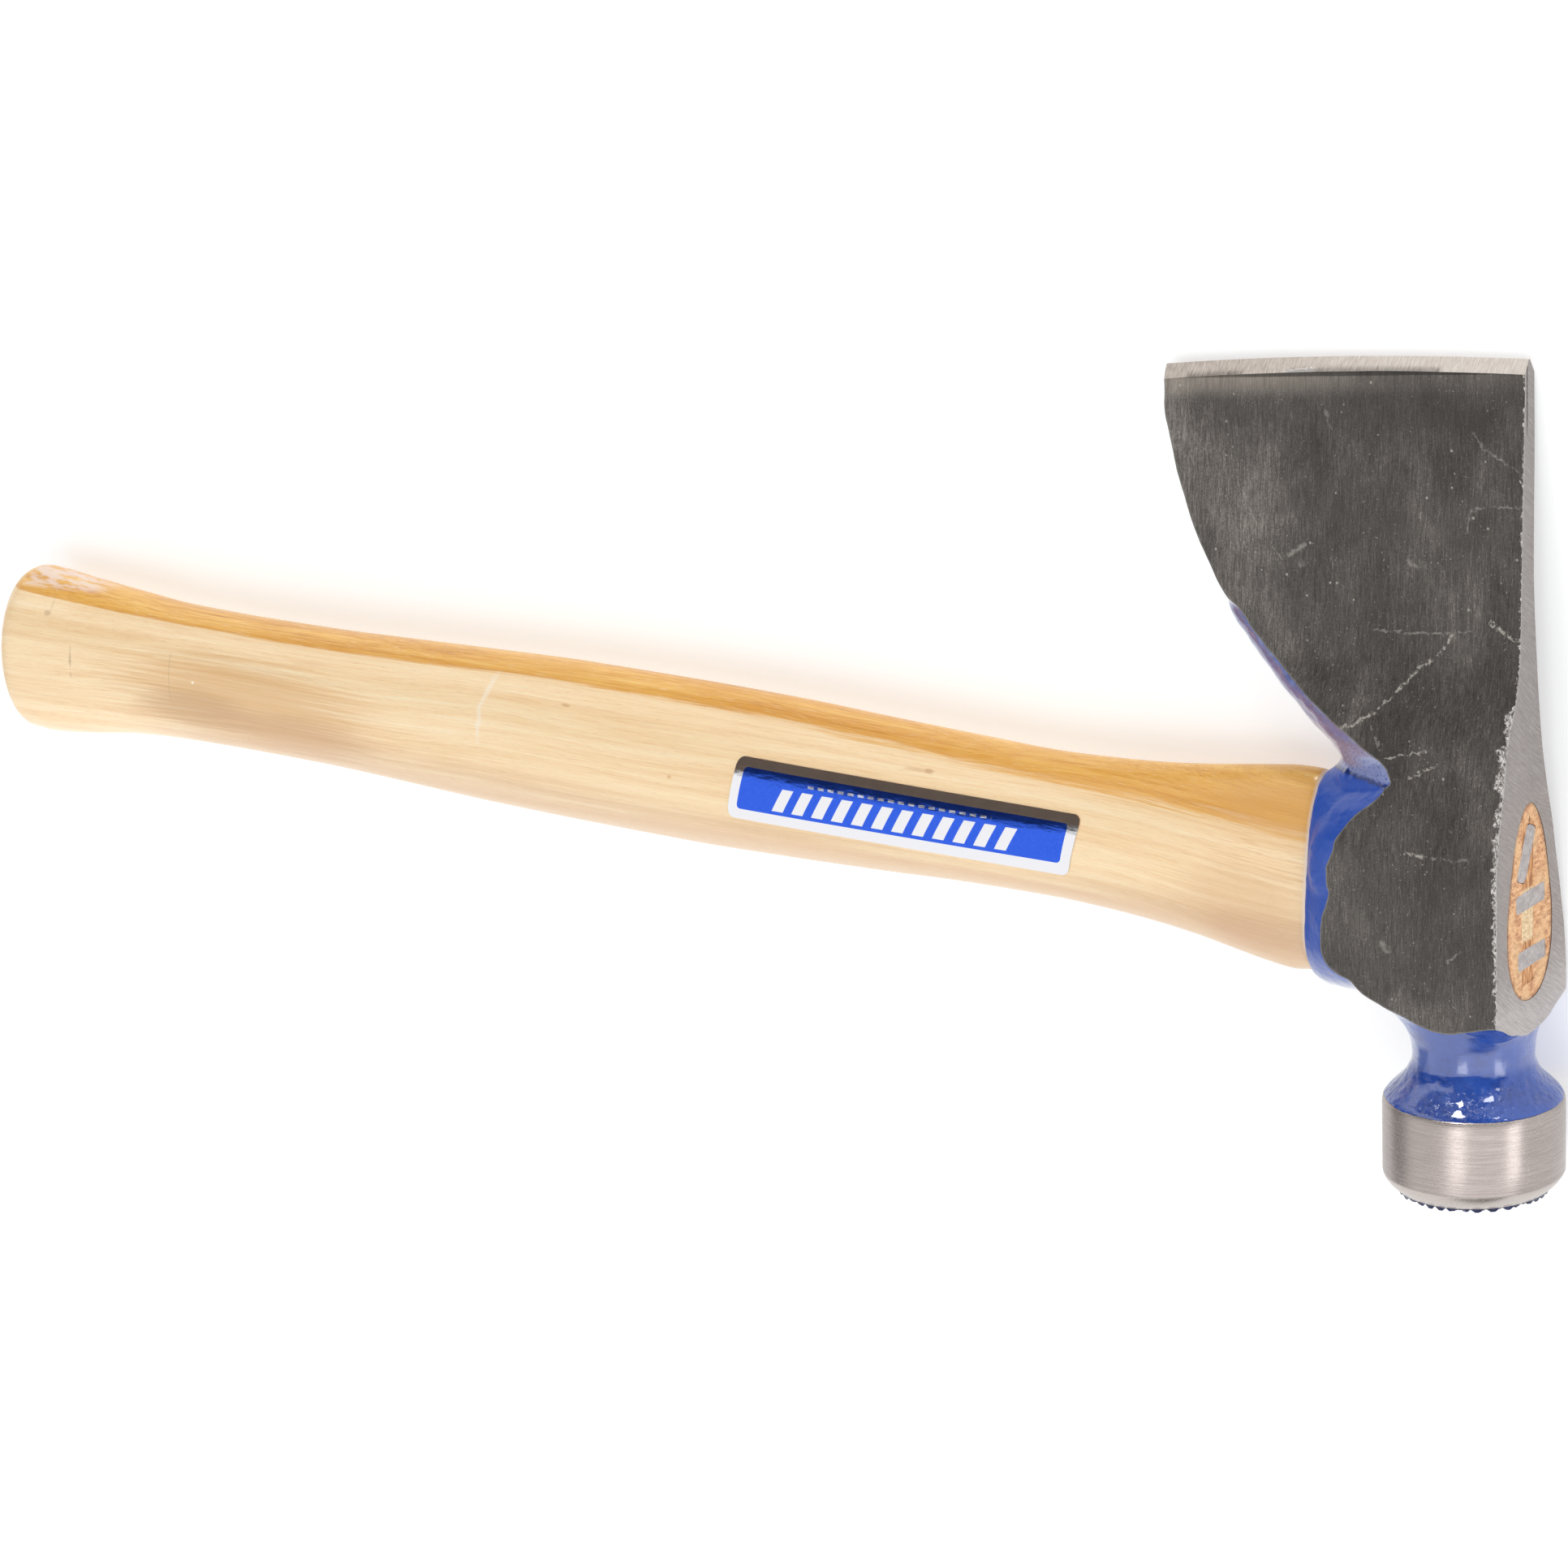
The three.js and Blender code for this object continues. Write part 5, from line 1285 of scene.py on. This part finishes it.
def soft(name, direction, distance, width, height, radiance, long_axis=(0, 1, 0), colour=(1, 1, 1)):
    """A soft box in a direction given in the tool's own axes, facing the head."""
    d = (TURN @ Vector(direction)).normalized()
    light = bpy.data.lights.new(name, "AREA")
    light.shape, light.size, light.size_y = "RECTANGLE", width, height
    light.energy = radiance * math.pi * width * height
    light.color = colour
    o = bpy.data.objects.new(name, light)
    bpy.context.scene.collection.objects.link(o)
    z = d
    y = TURN @ Vector(long_axis)
    y = (y - z * y.dot(z)).normalized()
    x = y.cross(z)
    o.matrix_world = Matrix.Translation(HEAD + d * distance) @ Matrix((x, y, z)).transposed().to_4x4()
    return o


soft("key_blade_side", (-0.07, 0.92, 0.36), 1.7, 0.30, 0.30, 24.0)
soft("kick_blade_side", (0.50, 0.84, 0.24), 1.7, 0.18, 0.26, 24.0)
soft("right_blade_side", (0.80, 0.55, 0.22), 1.7, 0.20, 0.20, 14.0)

# the room: bright below the tool's waist line, a dark gap at it, bright again above, dark overhead;
# two strips and the wall between them on the end-face side
scene = bpy.context.scene
world = bpy.data.worlds.new("studio")
scene.world = world
world.use_nodes = True


class Room(Nodes):
    def __init__(self, tree):
        self.t = tree

    def band(self, v, lo, hi, soft_):
        return self.m("MULTIPLY", self.step(v, lo - soft_, lo + soft_), self.step(v, hi + soft_, hi - soft_))


w = Room(world.node_tree)
ray = w.node("ShaderNodeTexCoord").outputs["Generated"]


def along(axis):
    n = w.node("ShaderNodeVectorMath", operation="DOT_PRODUCT")
    w.put(n.inputs[0], ray)
    n.inputs[1].default_value = TURN @ Vector(axis)
    return n.outputs["Value"]


dx, dy, dz = along((1, 0, 0)), along((0, 1, 0)), along((0, 0, 1))
az_ = w.m("ARCTAN2", dx, dz)
left = w.curve(dy, [(-1.0, 1.15), (0.04, 1.15), (0.11, 0.06), (0.38, 0.06), (0.43, 1.3), (0.64, 1.3), (0.72, 0.2), (1.0, 0.2)])
right = w.curve(dy, [(-1.0, 0.25), (-0.90, 0.25), (-0.80, 1.2), (0.03, 1.2), (0.09, 0.13), (1.0, 0.13)])
base = w.lerp(w.step(az_, -0.35, -0.15), left, right)
far = w.m("MULTIPLY", w.step(az_, -1.0, -1.2), w.m("MULTIPLY", w.step(dy, -0.52, -0.40), w.step(dy, 0.6, 0.4)))
base = w.m("MULTIPLY", base, w.m("MULTIPLY_ADD", far, -0.62, 1.0))
reach = w.band(dy, -0.70, 0.0, 0.12)
wall = w.m("MULTIPLY", w.band(az_, 0.1, 1.55, 0.15), 0.30)
strips = w.m("MULTIPLY", w.m("ADD", w.band(az_, 0.0, 0.34, 0.06), w.band(az_, 1.28, 1.58, 0.06)), w.band(dy, -0.42, -0.14, 0.06))
light = w.m("ADD", base, w.m("MULTIPLY_ADD", strips, 2.1, w.m("MULTIPLY", reach, wall)))
w.put(world.node_tree.nodes["Background"].inputs["Strength"], light)
world.node_tree.nodes["Background"].inputs["Color"].default_value = (1.0, 1.0, 1.0, 1.0)

scene.view_settings.view_transform = "Standard"
scene.view_settings.look = "None"
scene.view_settings.exposure = 0.0
scene.view_settings.gamma = 1.0
